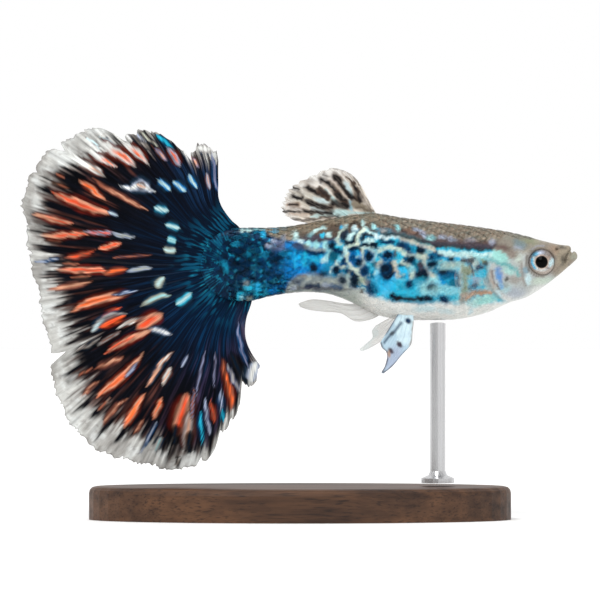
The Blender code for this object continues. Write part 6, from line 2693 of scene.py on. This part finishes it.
@dataclass
class Studio:
    """Pale floor, soft lights and a camera square to the fish's right side."""

    frame_width: float = 0.054
    lens: float = 320.0
    sensor: float = 36.0
    look_height: float = 0.01975
    aim_height: float = 0.022
    dim: float = 0.22

    def build(self) -> None:
        """Builds floor, world, lights and camera."""
        self.floor()
        self.world()
        self.light("key", (-0.10, -0.26, 0.34), 35.0, 1.9)
        self.light("fill", (0.26, -0.34, 0.06), 60.0, 0.55)
        self.camera()

    def floor(self) -> None:
        """A wide sheet that the base stands on."""
        bm = bmesh.new()
        bmesh.ops.create_grid(bm, x_segments=8, y_segments=8, size=1.6)
        mesh = bpy.data.meshes.new("floor")
        bm.to_mesh(mesh)
        bm.free()
        mesh.materials.append(FloorFinish().make())
        floor = bpy.data.objects.new("floor", mesh)
        bpy.context.scene.collection.objects.link(floor)

    def world(self) -> None:
        """A white surround behind and above the fish, dimmer on the camera's side."""
        world = bpy.data.worlds.new("surround")
        world.use_nodes = True
        tree = world.node_tree
        place = tree.nodes.new("ShaderNodeTexCoord")
        lean = tree.nodes.new("ShaderNodeVectorMath")
        lean.operation = "DOT_PRODUCT"
        lean.inputs[1].default_value = (0.0, 0.85, 0.5)
        level = tree.nodes.new("ShaderNodeMapRange")
        ends = (("From Min", -0.45), ("From Max", 0.3), ("To Min", self.dim), ("To Max", 1.0))
        for name, number in ends:
            level.inputs[name].default_value = number
        tree.links.new(place.outputs["Generated"], lean.inputs[0])
        tree.links.new(lean.outputs["Value"], level.inputs["Value"])
        tree.links.new(level.outputs["Result"], tree.nodes["Background"].inputs["Strength"])
        tree.nodes["Background"].inputs["Color"].default_value = (1.0, 1.0, 1.0, 1.0)
        bpy.context.scene.world = world
        bpy.context.scene.view_settings.view_transform = "Standard"

    def light(self, name: str, place: tuple[float, float, float], angle: float, strength: float) -> None:
        """A wide soft light from far off, aimed at the fish.

        Args:
            name: The light's name.
            place: Where it stands, in metres.
            angle: Its breadth in degrees.
            strength: Its strength.
        """
        lamp = bpy.data.lights.new(name, "SUN")
        lamp.angle = math.radians(angle)
        lamp.energy = strength
        obj = bpy.data.objects.new(name, lamp)
        obj.location = place
        aim = Vector((0, 0, self.aim_height)) - obj.location
        obj.rotation_euler = aim.to_track_quat("-Z", "Y").to_euler()
        bpy.context.scene.collection.objects.link(obj)

    def camera(self) -> None:
        """The camera, level with the middle of the picture."""
        lens = bpy.data.cameras.new("camera")
        lens.lens = self.lens
        lens.sensor_width = self.sensor
        lens.clip_start = 0.005
        lens.clip_end = 10.0
        obj = bpy.data.objects.new("camera", lens)
        obj.location = (0.0, -self.frame_width * self.lens / self.sensor, self.look_height)
        obj.rotation_euler = (math.radians(90), 0.0, 0.0)
        bpy.context.scene.collection.objects.link(obj)
        bpy.context.scene.camera = obj


def paired(place: tuple[float, float, float], side: Side, spin: Matrix) -> Matrix:
    """Where a paired fin's own plane lies on one side of the fish."""
    x, y, z = place
    return Matrix.Translation((x, side.value * y, z)) @ spin


# outlines of the small fins: the tips from front to rear, and the front edge from its root
DORSAL_TIPS = [
    (4.59, 8.19), (3.78, 8.57), (2.70, 8.75), (1.08, 8.10), (-0.45, 7.34), (-1.17, 6.66),
    (-1.44, 6.03), (-1.73, 5.22), (-1.44, 4.55), (-0.63, 4.02),
]
DORSAL_FRONT = [(7.4, 3.7), (6.85, 4.6), (6.25, 5.65), (5.65, 6.85), (5.15, 7.65), (4.59, 8.19)]
PELVIC_EDGES = {
    Side.RIGHT: (
        [
            (-2.03, -5.77), (-2.2, -5.6), (-1.9, -5.0), (-1.7, -4.1), (-1.8, -3.6), (-2.15, -3.27),
            (-2.3, -2.85),
        ],
        [
            (0.65, 0.0), (0.7, -0.9), (0.6, -1.8), (0.5, -2.85), (0.2, -3.35), (-0.45, -4.1),
            (-1.2, -5.05), (-2.03, -5.77),
        ],
    ),
    Side.LEFT: (
        [(-3.9, -3.75), (-4.05, -3.55), (-3.5, -3.05), (-2.95, -2.5), (-2.98, -1.8), (-2.66, -1.25)],
        [(0.65, 0.0), (-0.3, -1.3), (-1.6, -2.35), (-2.9, -3.2), (-3.9, -3.75)],
    ),
}
PELVIC_ROOT = (9.5, 0.95, -4.3)
PELVIC_SPLAY = math.radians(20)
PECTORAL_ROOT = (16.9, 2.05, -0.9)
PECTORAL_SPREAD = math.radians(48)


def build_fins(shop: Workshop, form: BodyForm) -> None:
    """Builds and paints every fin.

    Args:
        shop: Finishes the meshes.
        form: The body that the fins grow from.
    """
    tail = TailFan(shop, "tail", "tail_fin", "tail_navy", rays=24, columns=384, rows=118, ray=0.26)
    tail.build(FinFinish("tail_membrane", 0.5, 0.02, (1300.0, 14.0)).make())
    dorsal = DorsalFin(
        shop, "dorsal", "dorsal_fin", "fin_spotted", rays=8, columns=160, rows=70,
        tips=Path(DORSAL_TIPS), front_edge=Path(DORSAL_FRONT), form=form, teeth=0.09,
    )
    dorsal.build(FinFinish("dorsal_membrane").make())
    clear = FinFinish("clear_membrane", 0.34, 0.12).make()
    AnalFin(shop, "anal", "anal_fin", "fin_clear", rays=4, columns=64, rows=80).build(clear)
    blue = FinFinish("pelvic_membrane", 0.36, 0.15).make()
    for side, (tips, edge) in PELVIC_EDGES.items():
        name = side.name.lower()
        splay = Matrix.Rotation(side.value * PELVIC_SPLAY, 4, "X")
        PelvicFin(
            shop, f"pelvic_{name}", f"pelvic_fin_{name}",
            "fin_blue" if side is Side.RIGHT else "fin_clear",
            rays=5, columns=80, rows=60, turned=paired(PELVIC_ROOT, side, splay),
            tips=Path(tips), front_edge=Path(edge), side=side,
        ).build(blue if side is Side.RIGHT else clear)
        spread = Matrix.Rotation(-side.value * PECTORAL_SPREAD, 4, "Z")
        PectoralFin(
            shop, f"pectoral_{name}", f"pectoral_fin_{name}", "fin_clear", rays=12, columns=144, rows=50,
            ray=0.11, membrane=0.035, turned=paired(PECTORAL_ROOT, side, spread),
        ).build(clear)


def main() -> None:
    """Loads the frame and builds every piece."""
    logging.basicConfig(level=logging.INFO, format="%(name)s: %(message)s")
    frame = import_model()
    low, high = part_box("eye_right")
    shop = Workshop(axis_height=(low[2] + high[2]) / 2 / MM - EYE_CENTRE[2])
    form = BodyForm()
    markings = FlankMarkings(form)
    Skin(shop, form, markings).build(SkinFinish().make())
    Scales(shop, form, markings).build(ScaleFinish().make())
    build_fins(shop, form)
    ball = EyeFinish().make()
    for side in Side:
        Eye(shop, side).build(ball)
    Stand(frame["nodes"]).dress()
    Studio().build()


if __name__ == "__main__":
    main()
